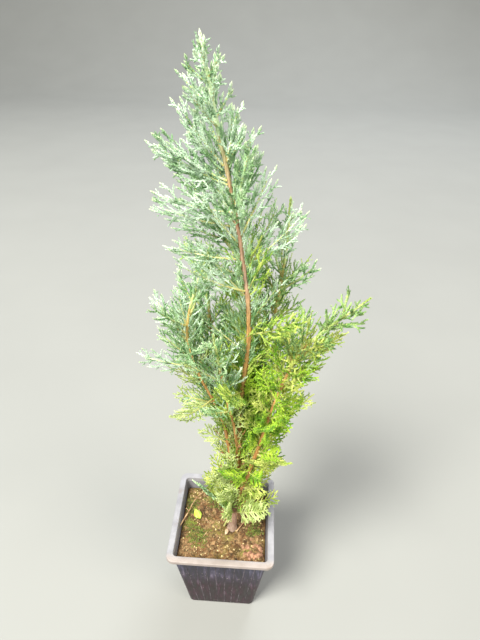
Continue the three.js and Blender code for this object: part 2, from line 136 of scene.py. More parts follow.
def endTree(tree, given, geometry):
    # made real, painted and sent out
    real = addNode(tree, "GeometryNodeRealizeInstances", {0: geometry})
    painted = addNode(tree, "GeometryNodeSetMaterial", {0: real, "Material": given["material"]})
    addNode(tree, "NodeGroupOutput", {0: painted})
    return tree


def runTree(obj, tree, name, **values):
    # the inputs are set by their identifiers before the object is first evaluated
    modifier = obj.modifiers.new(tree.name, "NODES")
    modifier.node_group = tree
    for item in tree.interface.items_tree:
        if item.in_out == "INPUT" and item.name in values:
            modifier[item.identifier] = values[item.name]
    return evaluated(obj, name)


def newMaterial(name):
    # an empty material, what adds a node to it, and Object coordinates for the patterns
    material = bpy.data.materials.new(name)
    material.use_nodes = True
    material.node_tree.nodes.clear()
    add = partial(addNode, material.node_tree)
    return material, add, add("ShaderNodeTexCoord").outputs["Object"]


def layered(add, colour, *layers):
    # other colours laid over the first: how much, which, and the mode
    for factor, layer, mode in layers:
        mixed = {0: factor, 6: colour, 7: layer}
        colour = add("ShaderNodeMix", mixed, data_type="RGBA", blend_type=mode)
    return colour


def shade(add, surface, relief=None, strength=0, depth=0):
    # the shader and the output, the skin raised by a pattern, its depth in millimetres
    if strength:
        bump = {"Height": relief, "Strength": strength, "Distance": depth * mm}
        surface["Normal"] = add("ShaderNodeBump", bump)
    add("ShaderNodeOutputMaterial", {"Surface": add("ShaderNodeBsdfPrincipled", surface)})


def mottled(name, scale, detail, stops, roughness, ior, bump=(), sheen=0):
    # a finish whose one fine pattern deals out its tones and its relief
    material, add, place = newMaterial(name)
    fine = add("ShaderNodeTexNoise", {"Vector": place, "Scale": scale, "Detail": detail})
    tone = add("ShaderNodeValToRGB", {"Fac": fine}, stops)
    surface = {"Base Color": tone, "Roughness": roughness, "IOR": ior, "Sheen Weight": sheen}
    shade(add, surface, fine, *bump)
    return material


# Camera at the photograph's own place and angle, in the plant's frame, its angles in degrees.
camera = {
    "place": (22, -262, 475), "down": 33.4, "towardsLeft": 2.6, "roll": 1.4, "lens": 27, "sensor": 36,
}


def setCamera():
    down, turn, roll = (radians(camera[k]) for k in ("down", "towardsLeft", "roll"))
    ahead = Vector((-sin(turn) * cos(down), cos(turn) * cos(down), -sin(down)))
    side = Vector((cos(turn), sin(turn), 0))
    up = side.cross(ahead)
    axes = (side * cos(roll) + up * sin(roll), up * cos(roll) - side * sin(roll), -ahead)
    data = bpy.data.cameras.new("photo_camera")
    data.lens, data.sensor_width, data.clip_start = camera["lens"], camera["sensor"], 0.01
    obj = newObject("photo_camera", data)
    obj.matrix_world = Matrix(axes).transposed().to_4x4()
    obj.location = Vector(camera["place"]) * mm
    bpy.context.scene.camera = obj


setCamera()
print("camera set")


# Studio: a pale sweep under soft light, like a bright overcast day.
studio = {
    "floorWidth": 9000, "floorFront": -2500, "floorBack": 2600,
    "sweepRadius": 1500, "sweepSteps": 16, "wallTop": 4500,
    "skyStrength": 0.35, "skyColour": "#eef3fa", "aim": (0, 0, 230),
    # name: place, size of the panel, watts, colour
    "lights": {
        "sky_panel": ((-1300, -1500, 3000), 1300, 262, "#fffdf6"),
        "window_panel": ((2400, -1500, 1600), 1800, 62, "#fff4e4"),
        "back_panel": ((700, 2600, 2600), 1800, 80, "#f4f8ff"),
    },
}


def buildStudio():
    half, radius, back = studio["floorWidth"] / 2, studio["sweepRadius"], studio["floorBack"]
    line = [(studio["floorFront"], 0)]
    for k in range(studio["sweepSteps"] + 1):
        angle = pi / 2 * k / studio["sweepSteps"]
        line.append((back + radius * sin(angle), radius * (1 - cos(angle))))
    line.append((back + radius, studio["wallTop"]))
    points = [(x, y, z) for y, z in line for x in (-half, half)]
    faces = [(2 * k, 2 * k + 1, 2 * k + 3, 2 * k + 2) for k in range(len(line) - 1)]
    sweep = meshObject("studio_sweep", points, faces, smooth=True)
    # matt painted board, so the eye sees only a faint mottle
    paint = mottled("matt_studio_paint", 6, 2, [(0, "#999a96"), (1, "#939490")], 0.9, 1.45)
    sweep.data.materials.append(paint)
    sweep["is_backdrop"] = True
    for name, (place, size, watts, colour) in studio["lights"].items():
        data = bpy.data.lights.new(name, "AREA")
        data.size, data.energy, data.color = size * mm, watts, linear(colour)[:3]
        panel = newObject(name, data)
        panel.location = Vector(place) * mm
        aim = Vector(studio["aim"]) * mm - panel.location
        panel.rotation_euler = aim.to_track_quat("-Z", "Y").to_euler()
    world = bpy.data.worlds.new("overcast_sky")
    world.use_nodes = True
    background = world.node_tree.nodes["Background"]
    background.inputs["Color"].default_value = linear(studio["skyColour"])
    background.inputs["Strength"].default_value = studio["skyStrength"]
    bpy.context.scene.world = world
    bpy.context.scene.view_settings.view_transform = "Standard"


buildStudio()
print("studio built")


# The pot: thin black polypropylene, injection moulded, with a turned-out lip.
pot = {
    "height": 90, "rim": 90, "rimCorner": 6.5, "mouth": 81, "mouthCorner": 4,
    "foot": 60, "footCorner": 4.5, "footRound": 1.6, "wall": 1, "floor": 1.4,
    "lipDrop": 3.6, "lipThickness": 1.1, "edgeRound": 0.5, "sharpFrom": 50,
    "insideRings": 2,  # the last rings of the profile
    "cornerSteps": 9, "flatSteps": 3, "drainRadius": 3.6, "drainInset": 17, "drainSides": 24,
    "ribs": 8, "ribSpacing": 8.7, "ribWidth": 0.8, "ribFrom": 2.5, "ribTo": 85, "ribSunk": 0.2,
}


def squareRing(side, corner, z, flatSteps, cornerSteps, middle=(0, 0)):
    # a rounded square, anticlockwise, with points along its flats too
    ring = []
    flat = side / 2 - corner
    for quarter in range(4):
        a = radians(quarter * 90 + 45)
        cx, cy = copysign(flat, cos(a)), copysign(flat, sin(a))
        for step in range(cornerSteps + 1):
            turn = radians(90 * (quarter + step / cornerSteps))
            ring.append((cx + corner * cos(turn), cy + corner * sin(turn)))
        turn = radians(90 * (quarter + 1))
        for step in range(1, flatSteps):
            along = 2 * flat * step / flatSteps
            x = cx + corner * cos(turn) - along * sin(turn)
            ring.append((x, cy + corner * sin(turn) + along * cos(turn)))
    return [(x + middle[0], y + middle[1], z) for x, y in ring]


def loft(rings):
    # one skin through rings of equal length, closed flat at both ends
    count = len(rings[0])
    points = [p for ring in rings for p in ring]
    faces = [tuple(reversed(range(count)))]
    for r in range(len(rings) - 1):
        for i in range(count):
            a, b = r * count + i, r * count + (i + 1) % count
            faces.append((a, b, b + count, a + count))
    faces.append(tuple(range((len(rings) - 1) * count, len(rings) * count)))
    return points, faces


def wallAt(z, inwards=0):
    # side and corner radius of the wall at a height
    share = z / (pot["height"] - pot["lipThickness"])
    side = pot["foot"] + (pot["mouth"] - pot["foot"]) * share
    corner = pot["footCorner"] + (pot["mouthCorner"] - pot["footCorner"]) * share
    return side - 2 * inwards, corner - inwards


def roundedEdge(side, corner, z, radius, start, steps=4):
    # rings a quarter of the way round an edge whose middle is radius in from the side
    for k in range(steps + 1):
        a = radians(start + 90 * k / steps)
        out = radius * cos(a) - radius
        yield side + 2 * out, corner + out, z + radius * sin(a)


def potProfile():
    lip, edge, foot, top = pot["lipThickness"], pot["edgeRound"], pot["footRound"], pot["height"]
    under, hem = top - lip, top - pot["lipDrop"]
    rim, skirt = (pot["rim"], pot["rimCorner"]), (pot["rim"] - 2 * lip, pot["rimCorner"] - lip)
    mouth = wallAt(top, pot["wall"])
    yield from roundedEdge(*wallAt(foot), foot, foot, -90)
    yield (*wallAt(under), under)
    yield (*skirt, under)
    yield (*skirt, hem)
    yield from roundedEdge(*rim, hem + edge, edge, -90)
    yield from roundedEdge(*rim, top - edge, edge, 0)
    for out, inwards, drop in ((2, 1, 0), (0.6, 0.3, 0.3), (0, 0, 1)):
        yield mouth[0] + edge * out, mouth[1] + edge * inwards, top - edge * drop
    yield (*wallAt(pot["floor"], pot["wall"]), pot["floor"])


def polypropyleneWithPaintedLipReflection():
    # black polypropylene, rubbed and rained on: grey streaks run down it, it is bluer with dust
    # near the top, and the lip has a painted pale reflection of the sky, with dried soil on its front
    material, add, place = newMaterial("weathered_polypropylene")
    stretched = add("ShaderNodeMapping", {"Vector": place, "Scale": (1, 1, 0.05)})
    streaks, cloud, lipMottle, soiled = (
        add("ShaderNodeTexNoise", {"Vector": at, "Scale": scale, "Detail": detail, "Roughness": rough})
        for at, scale, detail, rough in (
            (stretched, 420, 4, 0.65), (place, 70, 5, 0.6), (place, 130, 3, 0.5), (place, 55, 8, 0.75),
        )
    )
    low, high, damp, paintedLipReflection = (
        add("ShaderNodeValToRGB", {"Fac": pattern}, stops) for pattern, stops in (
            (streaks, [(0.36, "#1b0d14"), (0.5, "#321923"), (0.6, "#4c323e"), (0.74, "#7a6270")]),
            (streaks, [(0.36, "#26273a"), (0.5, "#44455c"), (0.6, "#676880"), (0.74, "#a0a0b6")]),
            (cloud, [(0.35, "#8c8084"), (0.55, "#c9c5cc"), (0.7, "#ffffff")]),
            # painted sky reflection: the pale grey tones of the lip
            (lipMottle, [(0.35, "#8b8a8f"), (0.5, "#949397"), (0.65, "#9d9ca0")]),
        )
    )
    depth, height = (add("ShaderNodeSeparateXYZ", {0: place}).outputs[k] for k in "YZ")
    specks = add("ShaderNodeTexVoronoi", {"Vector": place, "Scale": 330})
    hem = pot["height"] - pot["lipDrop"]
    isHigh, isSpeck, onLip, isSoiled, onFront, gloss = (
        add("ShaderNodeMapRange", {"Value": v, "From Min": a, "From Max": b, "To Min": c, "To Max": d})
        for v, a, b, c, d in (
            (height, 38 * mm, 78 * mm, 0, 1), (specks, 0.17, 0.1, 0, 1),
            (height, (hem - 0.8) * mm, hem * mm, 0, 1), (soiled, 0.56, 0.7, 0, 0.6),
            (depth, -37 * mm, -42 * mm, 0, 0.42), (streaks, 0.3, 0.7, 0.36, 0.62),
        )
    )
    isChosen = add("ShaderNodeMath", {0: specks.outputs["Color"], 1: 0.72}, operation="GREATER_THAN")
    someSpecks = add("ShaderNodeMath", {0: isSpeck, 1: isChosen}, operation="MULTIPLY")
    inside = add("ShaderNodeAttribute", attribute_name="inside").outputs["Fac"]
    colour = layered(
        add, low, (isHigh, high, "MIX"), (0.75, damp, "MULTIPLY"), (someSpecks, "#9a928d", "MIX"),
        (inside, layered(add, "#5d5b60", (cloud, "#8f8e93", "MIX")), "MIX"),
        # the lip: painted pale sky reflection, with tan dirt and dried soil over its front
        (onLip, layered(add, paintedLipReflection, (onFront, "#b49d88", "MIX"), (isSoiled, "#86705a", "MIX")), "MIX"),
    )
    shade(add, {"Base Color": colour, "Roughness": gloss, "IOR": 1.49}, streaks, 0.25, 0.15)
    return material


def dustyRib():
    # the ribs of the same plastic hold the dust, so they show as fine pale lines
    return mottled("dusty_polypropylene_rib", 160, 4, [(0.4, "#33282e"), (0.7, "#7c747d")], 0.6, 1.49)


def ribTree():
    # a half-sunk bead along each guide line
    tree, add, given = newTree("moulded_ribs", ribWidth="Float")
    half = add("ShaderNodeMath", {0: given["ribWidth"], 1: 0.5}, operation="MULTIPLY")
    bead = add("GeometryNodeCurvePrimitiveCircle", {"Resolution": 8, "Radius": half})
    curve = add("GeometryNodeMeshToCurve", {0: given["Geometry"]})
    swept = {"Curve": curve, "Profile Curve": bead, "Fill Caps": True}
    return endTree(tree, given, add("GeometryNodeCurveToMesh", swept))


def buildPot():
    rings = list(potProfile())
    points, faces = loft([squareRing(*ring, pot["flatSteps"], pot["cornerSteps"]) for ring in rings])
    shell = meshObject("pot_shell", points, faces)
    ringSize = len(points) // len(rings)
    setValues(shell, inside=[len(rings) - k // ringSize <= pot["insideRings"] for k in range(len(points))])
    circle = [(cos(a), sin(a)) for a in np.linspace(0, 2 * pi, pot["drainSides"], endpoint=False)]
    for middle in ((-1, -1), (-1, 1), (1, -1), (1, 1)):
        ring = np.array(circle) * pot["drainRadius"] + np.array(middle) * pot["drainInset"]
        drill = meshObject("drain_drill", *loft([[(x, y, z) for x, y in ring] for z in (-3, 4)]))
        drill.hide_render = True
        cut = shell.modifiers.new("drain", "BOOLEAN")
        cut.object, cut.solver = drill, "EXACT"
    drills = [m.object for m in shell.modifiers]
    shell = evaluated(shell, "pot_shell")
    for drill in drills:
        bpy.data.objects.remove(drill)
    shell.data.shade_smooth()
    shell.data.set_sharp_from_angle(angle=radians(pot["sharpFrom"]))
    finishPiece(shell, polypropyleneWithPaintedLipReflection(), ["pot"])
    guides = []
    flatShare = (pot["foot"] / 2 - pot["footCorner"]) / (pot["mouth"] / 2 - pot["mouthCorner"])
    for quarter in range(4):
        c, s = cos(pi / 2 * quarter), sin(pi / 2 * quarter)
        for k in range(pot["ribs"]):
            for z, spread in ((pot["ribFrom"], flatShare), (pot["ribTo"], 1)):
                out = wallAt(z)[0] / 2 - pot["ribSunk"]
                across = (k - (pot["ribs"] - 1) / 2) * pot["ribSpacing"] * spread
                guides.append((out * c - across * s, out * s + across * c, z))
    lines = meshObject("rib_guides", guides, edges=[(k, k + 1) for k in range(0, len(guides), 2)])
    ribs = runTree(lines, ribTree(), "pot_ribs", ribWidth=pot["ribWidth"] * mm, material=dustyRib())
    finishPiece(ribs, None)


buildPot()
print("pot built")


# The growth rule, the same as the solids' own. Crown gives how far the plant reaches at a height.
crown = {
    "heights": [90, 150, 200, 236, 258, 300, 340, 380, 410, 436, 463],
    "left": [10, 23, 28, 33, 60, 52, 45, 43, 39, 29, 12],
    "right": [24, 53, 58, 60, 64, 76, 64, 45, 19, 3, -5],
    "depth": [14, 35, 45, 49, 51, 52, 46, 38, 30, 21, 6],
}

gap = 0.3
soilLevel = 80

# Each stem is a smooth curve through its way points, a side stem's starting inside the leader at
# root. bare is the share of it that is bark, and tip its side shoots and the longest of them.
# A set of sprays is: how many, from and to which share, the longest, the azimuth that they face,
# the fan round it, and how far they open from the stem, low and high. fill holds the scene's own
# finer sets. hairs is how many single branchlets stand all round the bark, and feather the steep
# ones on its sides: how many, from and to which share, the two azimuths, how loose, and their
# sizes. tints is what colours the finer growth takes from each height up, in equal shares.
stems = [
    {
        "name": "leader", "radius": (3.2, 0.7), "bare": 0.79, "tip": (10, 40), "hairs": 330,
        "way": [
            (7.7, -3.8, soilLevel + gap), (11.6, -4, 150), (12, -3.4, 225), (16.2, -3.2, 300),
            (6.6, -3.6, 374), (-4.6, -3.4, 426), (-11.7, -3, 463),
        ],
        "lowSprays": (4, 0.03, 0.13, 68, 237, 360, 48, 42),
        "sprays": (18, 0.09, 0.775, 58, 330, 360, 64, 54),
        "fill": [
            (50, 0.03, 0.36, 46, 20, 360, 50, 32), (50, 0.24, 0.775, 36, 41, 360, 46, 34),
            (30, 0.065, 0.35, 46, 290, 220, 34, 26), (8, 0.53, 0.73, 52, 180, 60, 76, 68),
            (13, 0.055, 0.2, 50, 360, 90, 52, 42), (34, 0.06, 0.3, 46, 195, 140, 34, 24),
        ],
        "feather": (200, 0.09, 0.7, (204, 334), 34, (9, 17)),
        "tints": {
            0: "lime young lime fern", 140: "lime vivid fern vivid", 190: "fern vivid vivid",
            260: "fern frost frost", 300: "frost silver fern", 345: "silver silver frost", 400: "silver",
        },
        "leftTints": {
            0: "lime young fern", 120: "young lime young frost", 190: "young fern young frost",
            260: "frost silver fern", 345: "silver silver frost", 400: "silver",
        },
    },
    {
        "name": "right_stem", "root": 0.09, "radius": (2, 0.7), "bare": 0.78, "tip": (6, 22), "hairs": 70,
        "way": [(24.5, -10, 182), (35, -13.6, 238), (50.5, -19.4, 294), (82.6, -31.1, 340.6)],
        "sprays": (8, 0.12, 0.76, 36, -20, 230, 64, 50),
        "fill": [(54, 0.06, 0.77, 27, 5, 360, 50, 36)],
        "tints": {0: "vivid lime lime", 200: "vivid vivid lime", 285: "lime tender", 310: "tender"},
    },
    {
        "name": "left_stem", "root": 0.1, "radius": (1.9, 0.7), "bare": 0.8, "tip": (3, 22), "hairs": 70,
        "way": [(0.5, -5.4, 210), (-17.5, -9.2, 265), (-22.9, -10.3, 304), (-8, -7.2, 357)],
        "sprays": (8, 0.12, 0.78, 46, 190, 230, 68, 56),
        "fill": [(38, 0.08, 0.78, 26, 175, 300, 50, 34)],
        "feather": (80, 0.08, 0.66, (198, 330), 40, (8, 15)),
        "tints": {0: "young lime", 200: "young fern young frost", 265: "frost silver"},
    },
    {
        "name": "back_right_stem", "root": 0.15, "radius": (1.7, 0.7), "bare": 0.76, "tip": (4, 20),
        "way": [(22.5, 5, 222), (30, 9.5, 278), (36.4, 13, 334), (37.5, 13.4, 379.6)],
        "hairs": 50,
        "sprays": (4, 0.22, 0.74, 34, 30, 210, 56, 46),
        "fill": [(22, 0.2, 0.74, 26, 50, 360, 50, 38)],
        "tints": {0: "fern vivid", 250: "fern lime", 300: "frost tender", 350: "tender silver"},
    },
    {
        "name": "front_stem", "root": 0.165, "radius": (1.5, 0.6), "bare": 0.72, "tip": (3, 18), "hairs": 40,
        "way": [(9.6, -11, 205), (3.5, -16, 244), (-1.5, -19, 276), (-5, -22, 303)],
        "sprays": (4, 0.24, 0.7, 30, 260, 210, 56, 48),
        "fill": [(14, 0.2, 0.7, 22, 240, 360, 48, 38)],
        "feather": (44, 0.06, 0.66, (205, 325), 60, (7, 12)),
        "tints": {0: "young fern young", 232: "frost silver"},
    },
    {
        "name": "back_left_stem", "root": 0.19, "radius": (1.6, 0.7), "bare": 0.74, "tip": (3, 22),
        "way": [(3.5, 6, 205), (-8, 12, 255), (-12, 15.5, 300), (-16, 18, 342)],
        "hairs": 45,
        "sprays": (3, 0.24, 0.72, 34, 145, 210, 58, 48),
        "fill": [(18, 0.2, 0.72, 26, 160, 360, 50, 38)],
        "tints": {0: "fern lime", 240: "fern frost", 300: "frost silver"},
    },
    {
        "name": "back_stem", "root": 0.24, "radius": (1.6, 0.7), "bare": 0.74, "tip": (3, 22), "hairs": 45,
        "way": [(14, 10, 205), (13, 19, 250), (9, 25, 294), (6, 29, 336)],
        "sprays": (3, 0.22, 0.72, 34, 90, 210, 60, 48),
        "fill": [(18, 0.2, 0.72, 26, 75, 360, 50, 38)],
        "tints": {0: "fern vivid", 260: "fern frost"},
    },
]

rule = {
    # the stems' own growth
    "flare": 1.45, "flareHeight": 6, "taper": 0.6, "barkPieces": 48,
    # how a twig stands and how long it gets
    "goldenTurn": 137.5, "lift": 0.16, "crowding": 0.85, "uneven": 0.12,
    "shortest": 12, "shortestShoot": 6, "shootOpen": 48, "onTip": (0.02, 0.78), "topmost": 0.4,
    # what it keeps clear of
    "rootClear": 1.15, "clearOfBark": 1.8, "finerClear": 1, "clearOfTwigs": 3.4, "clearOfRim": (3, 1),
    "tries": 12, "ownBark": 2, "lineSteps": 6,
    # how the finer sprays vary: their opening, their reach and their roll
    "finerOpen": (0.8, 1.15), "finerReach": (0.7, 1), "finerRoll": 90,
    # a spray's branchlets: their angle, place, length, and how flat they lie
    "angle": 44, "unevenBranchlet": (0.2, 0.15), "from": 0.14, "to": 0.95, "toOnTip": 0.86,
    "narrowing": 0.6, "share": 0.44, "longestBranchlet": 20, "longestOnTip": 9, "loose": 14,
    "roll": 40, "litRoll": 0.25, "flatBelow": 250, "planeTurn": 60, "branchletClear": (0.7, 0.6),
    # from and to which height the finer sprays leave the bark's front open, and how widely:
    # the trunk's foot, its middle and its upper end show
    "openStems": ("leader", "left_stem"),
    "openFronts": [(80, 104, 0.3), (228, 335, 0.5), (335, 448, 0.72)],
    # where no finer spray crosses in front of a stem's bark, as the photo shows it there
    "inView": {"leader": (170, 240), "left_stem": (150, 262)},
    "viewWidth": 2.8, "viewDepth": 3, "viewSteps": 120,
    "leftOf": 6,  # where the leader's left side starts
}

# How a spray looks from each height up: cord thickness, spacing and reach of its branchlets, the
# least length that they go by, the shortest, how far they curve along the twig, and the spacing
# and length of their own side twigs.
lookKeys = (
    "thick", "spacing", "reach", "least", "shortest", "forward", "sideSpacing", "sideShare", "sideLongest",
)
looks = {
    0: (1.45, 2.2, 0.62, 30, 4, 0.25, 3.4, 0.3, 3.4),
    225: (1.25, 2.6, 0.82, 26, 4, 0.35, 3.4, 0.32, 4),
    320: (1.25, 3.5, 1.12, 22, 4, 0.45, 3.2, 0.28, 3.6),
    370: (1.5, 3.8, 1.08, 12, 4, 0.45, 3, 0.28, 3.2),
}
tipLook = (1.5, 3.7, 0.8, 8, 3, 0.4, 2.8, 0.34, 3)
hairLook = {"thick": 1.1, "forward": 0.25, "sideSpacing": 4, "sideShare": 0.3, "sideLongest": 4}

# Single branchlets straight on the bark. Of the hairs, few stand towards the viewer, within the
# cone in degrees, and fewest where the leader shows; some low ones are dead.
hairs = {
    "from": 0.06, "to": 0.99, "crowding": 1.2, "seedStep": 3.3, "perSpray": 12,
    "open": (36, 54), "size": (11, 25), "sunk": 0.6, "off": 2,
    "cone": 22, "leaderCone": 55, "leaderHidden": (104, 225),
    "deadBelow": 205, "deadShare": 0.16, "deadSize": 0.7,
}
feather = {"crowding": 1, "seedStep": 4.7, "perSpray": 10, "open": (22, 38), "sunk": 0.8, "off": 1}

# a thin pale shoot that rises beside the trunk and in front of it
basalShoot = {
    "way": [
        (0.4, -3.4, 81), (4.3, -5.4, 97), (6.5, -7.6, 124), (7.6, -9.6, 141), (7.2, -12, 170),
        (5.6, -14.4, 196),
    ],
    "length": 120, "longest": 5, "from": 0.16, "roll": 20, "seed": 7,
}

worldUp = np.array([0.0, 0.0, 1.0])
light = np.array([0.0, -0.62, 0.78])  # where flat sprays turn their face


def mix(a, b, share):
    return a + (b - a) * share


def unit(v):
    return v / np.linalg.norm(v)


def chance(seed):
    # a seeded fraction from 0 to 1
    s = sin(seed * 12.9898 + 4.1414) * 43758.5453
    return s - floor(s)


def between(low, high, seed):
    return mix(low, high, chance(seed))


def smoothCurve(points):
    # a curve through the points, as a function of a share of it
    points = [np.array(p, float) for p in points]
    pieces = len(points) - 1

    def at(share):
        k = min(int(share * pieces), pieces - 1)
        w = share * pieces - k
        p1, p2 = points[k], points[k + 1]
        p0 = points[k - 1] if k > 0 else 2 * p1 - p2
        p3 = points[k + 2] if k + 2 <= pieces else 2 * p2 - p1
        t0, t1 = (p2 - p0) / 2, (p3 - p1) / 2
        return p1 + t0 * w + (3 * (p2 - p1) - 2 * t0 - t1) * w * w + (2 * (p1 - p2) + t0 + t1) * w ** 3

    return at


def arc(root, bend, end):
    # a line that leaves its root towards the bend and comes to its end
    return lambda share: root * (1 - share) ** 2 + bend * 2 * share * (1 - share) + end * share ** 2


def bentCurve(root, way, length, lift):
    # a line that curves up towards the light
    return arc(root, root + way * length / 2, root + (way + worldUp * lift) * length)


def traced(curve, shares):
    # the places on a curve at some shares of it
    return np.array([curve(share) for share in shares])


def wayAt(curve, share):
    return unit(curve(min(1, share + 1e-4)) - curve(max(0, share - 1e-4)))


def atAzimuth(turn):
    return np.array([cos(radians(turn)), sin(radians(turn)), 0])


def opening(along, out, degrees):
    # the way that opens from a line to one side of it, and the square to the line there
    square = unit(out - along * out.dot(along))
    return along * cos(radians(degrees)) + square * sin(radians(degrees)), square


def turned(v, axis, degrees):
    return np.array(Matrix.Rotation(radians(degrees), 3, Vector(axis)) @ Vector(v))


def insideCrown(p):
    if not crown["heights"][0] <= p[2] <= crown["heights"][-1]:
        return p[2] < crown["heights"][0]
    left, right, depth = (np.interp(p[2], crown["heights"], crown[k]) for k in ("left", "right", "depth"))
    across = (2 * p[0] - right + left) / (right + left)
    return hypot(across, (p[1] - stems[0]["way"][0][1]) / depth) < 1


def segmentDistances(p, starts, ends):
    along = ends - starts
    share = np.einsum("ij,ij->i", p - starts, along) / np.einsum("ij,ij->i", along, along)
    return np.linalg.norm(starts + along * np.clip(share, 0, 1)[:, None] - p, axis=1)


def radiusOf(stem, share):
    # a stem's taper, and the flare at the leader's foot
    flare = 0
    if stem is stems[0]:
        flare = (rule["flare"] - 1) * exp(-(stem["curve"](share)[2] - soilLevel) / rule["flareHeight"])
    return mix(*stem["radius"], share ** rule["taper"]) * (1 + flare)


def prepareStems():
    for stem in stems:
        stem["short"] = stem["name"].replace("_stem", "")
        root = [stems[0]["curve"](stem["root"])] if "root" in stem else []
        stem["curve"] = smoothCurve(root + stem["way"])
        shares = np.linspace(0, stem["bare"], rule["barkPieces"] + 1)
        line = traced(stem["curve"], shares)
        stem["bark"] = (line[:-1], line[1:], np.array([radiusOf(stem, share) for share in shares[:-1]]))
        low, high = rule["inView"].get(stem["name"], (0, 0))
        line = traced(stem["curve"], np.linspace(0, stem["bare"], rule["viewSteps"]))
        stem["inView"] = line[(line[:, 2] > low) & (line[:, 2] < high)]


def barkDistance(p, spared=None):
    # how far a point is from the nearest bark, one stem left out
    barks = [stem["bark"] for stem in stems if stem is not spared]
    return min((segmentDistances(p, starts, ends) - radii).min() for starts, ends, radii in barks)


def clearOfPot(p, radius):
    beside, above = rule["clearOfRim"]
    overPot = max(abs(p[0]), abs(p[1])) < pot["rim"] / 2 + beside
    return not overPot or p[2] > pot["height"] + radius + above


def lineOf(curve):
    return traced(curve, [k / rule["lineSteps"] for k in range(rule["lineSteps"] + 1)])


def twigOn(stem, curve, share, out, opened, shortest, longest, seed, clear):
    # a twig that opens from a curve, as long as the crown has room for
    way, square = opening(wayAt(curve, share), out, opened)
    root = curve(share) + square * clear
    length = shortest
    while length < longest and insideCrown(root + way * length + worldUp * rule["lift"] * length):
        length += 1
    length *= between(1 - rule["uneven"], 1, seed)
    return {"stem": stem, "seed": seed, "root": root, "way": way, "length": length}


def settled(twig, lines, shortest, clearOfBark):
    # the twig cut to where it would near the pot, some bark or another mass
    whole = bentCurve(twig["root"], twig["way"], twig["length"], rule["lift"])
    free = 0
    for k in range(rule["tries"] + 1):
        p = whole(k / rule["tries"])
        clear = rule["rootClear"] if k == 0 else clearOfBark
        nearBark = barkDistance(p, twig["stem"] if k <= rule["ownBark"] else None) < clear
        away = (segmentDistances(p, line[:-1], line[1:]).min() for line in lines)
        if nearBark or min(away, default=99) < rule["clearOfTwigs"] or not clearOfPot(p, rule["clearOfBark"]):
            break
        free = k / rule["tries"]
    length = free * twig["length"]
    if length < shortest:
        return None
    return {**twig, "curve": bentCurve(twig["root"], twig["way"], length, rule["lift"]), "length": length}


def hidesBark(curve):
    # whether a twig would cross in front of bark that stays in view
    eye = np.array(camera["place"], float)
    bark = np.concatenate([stem["inView"] for stem in stems]) - eye
    reach = np.linalg.norm(bark, axis=1)
    for p in lineOf(curve) - eye:
        along = bark @ p / reach
        aside = np.linalg.norm(p - bark * (along / reach)[:, None], axis=1)
        if ((aside < rule["viewWidth"]) & (along < reach - rule["viewDepth"])).any():
            return True
    return False


def leavesOpen(stem, z, turn):
    # whether a finer spray would stand before bark that the photo shows
    facing = cos(radians(turn - 270))
    isOpen = any(low < z < high and facing > most for low, high, most in rule["openFronts"])
    return isOpen and stem["name"] in rule["openStems"]


def stemSprays(stem, spec, lines, finer=False):
    # the sprays that stand on a stem's bark, those of the solids or the finer ones between them
    count, start, end, longest, middle, fan, *opened = spec
    clearOfBark = rule["finerClear" if finer else "clearOfBark"]
    for i in range(count):
        rise = (i + 0.5) / count
        share = mix(start, end, rise ** rule["crowding"])
        seed = len(stem["name"]) * 7 + middle + i
        turn = middle + fan * ((rule["goldenTurn"] * i % 360) / 360 - 0.5)
        angle, reach = mix(*opened, rise), longest
        if finer:
            angle *= between(*rule["finerOpen"], seed + 0.7)
            reach *= between(*rule["finerReach"], seed + 0.9)
            if leavesOpen(stem, stem["curve"](share)[2], turn):
                continue
        place = (stem, stem["curve"], share, atAzimuth(turn))
        twig = twigOn(*place, angle, rule["shortest"], reach, seed, radiusOf(stem, share) + gap)
        made = settled(twig, () if finer else lines, rule["shortest"], clearOfBark)
        if made and not finer:
            lines.append(lineOf(made["curve"]))
            yield made
        elif made and not hidesBark(made["curve"]):
            yield {**made, "roll": between(-rule["finerRoll"], rule["finerRoll"], seed + 0.37)}


def tipTwigs(stem, lines):
    # the green shoot that carries on along its stem's curve, with side shoots all round it
    bare, curve = stem["bare"], stem["curve"]
    root = curve(bare) + wayAt(curve, bare) * gap
    shoot = smoothCurve([root, *(curve(mix(bare, 1, third / 3)) for third in (1, 2, 3))])
    seed = len(stem["name"]) * 7 + 90
    length = sum(np.linalg.norm(shoot((k + 1) / 9) - shoot(k / 9)) for k in range(9))
    twigs = [{"stem": stem, "seed": seed, "curve": shoot, "length": length, "isTip": True}]
    count, most = stem["tip"]
    for i in range(count):
        share = mix(*rule["onTip"], (i + 0.5) / count)
        out = atAzimuth(rule["goldenTurn"] * (i + len(stem["name"])))
        longest = most * mix(1, rule["topmost"], share)
        shortest = rule["shortestShoot"] if stem is stems[0] else longest
        side = twigOn(stem, shoot, share, out, rule["shootOpen"], shortest, longest, seed + i, 0)
        made = settled(side, lines, rule["shortestShoot"], rule["clearOfBark"])
        if made:
            twigs.append({**made, "isShoot": True})
    lines.extend(lineOf(twig["curve"]) for twig in twigs)
    return twigs


sprays = []  # each spray's cords and twig, its tint, and the solid that it stands for


def fromHeight(table, z):
    # the entry of a table by height that holds at z
    return table[max(height for height in table if height <= max(z, 0))]


def newSpray(stem, middle, seed, mass=None, tint=None):
    # tinted by its height, and on the leader by the side that it stands on
    side = "leftTints" if "leftTints" in stem and middle[0] < rule["leftOf"] else "tints"
    choice = fromHeight(stem[side], middle[2]).split()
    tint = tint or choice[int(chance(seed + 0.5) * len(choice))]
    sprays.append({"tint": tint, "mass": mass, "cords": [], "tips": [], "twigs": []})
    return sprays[-1]


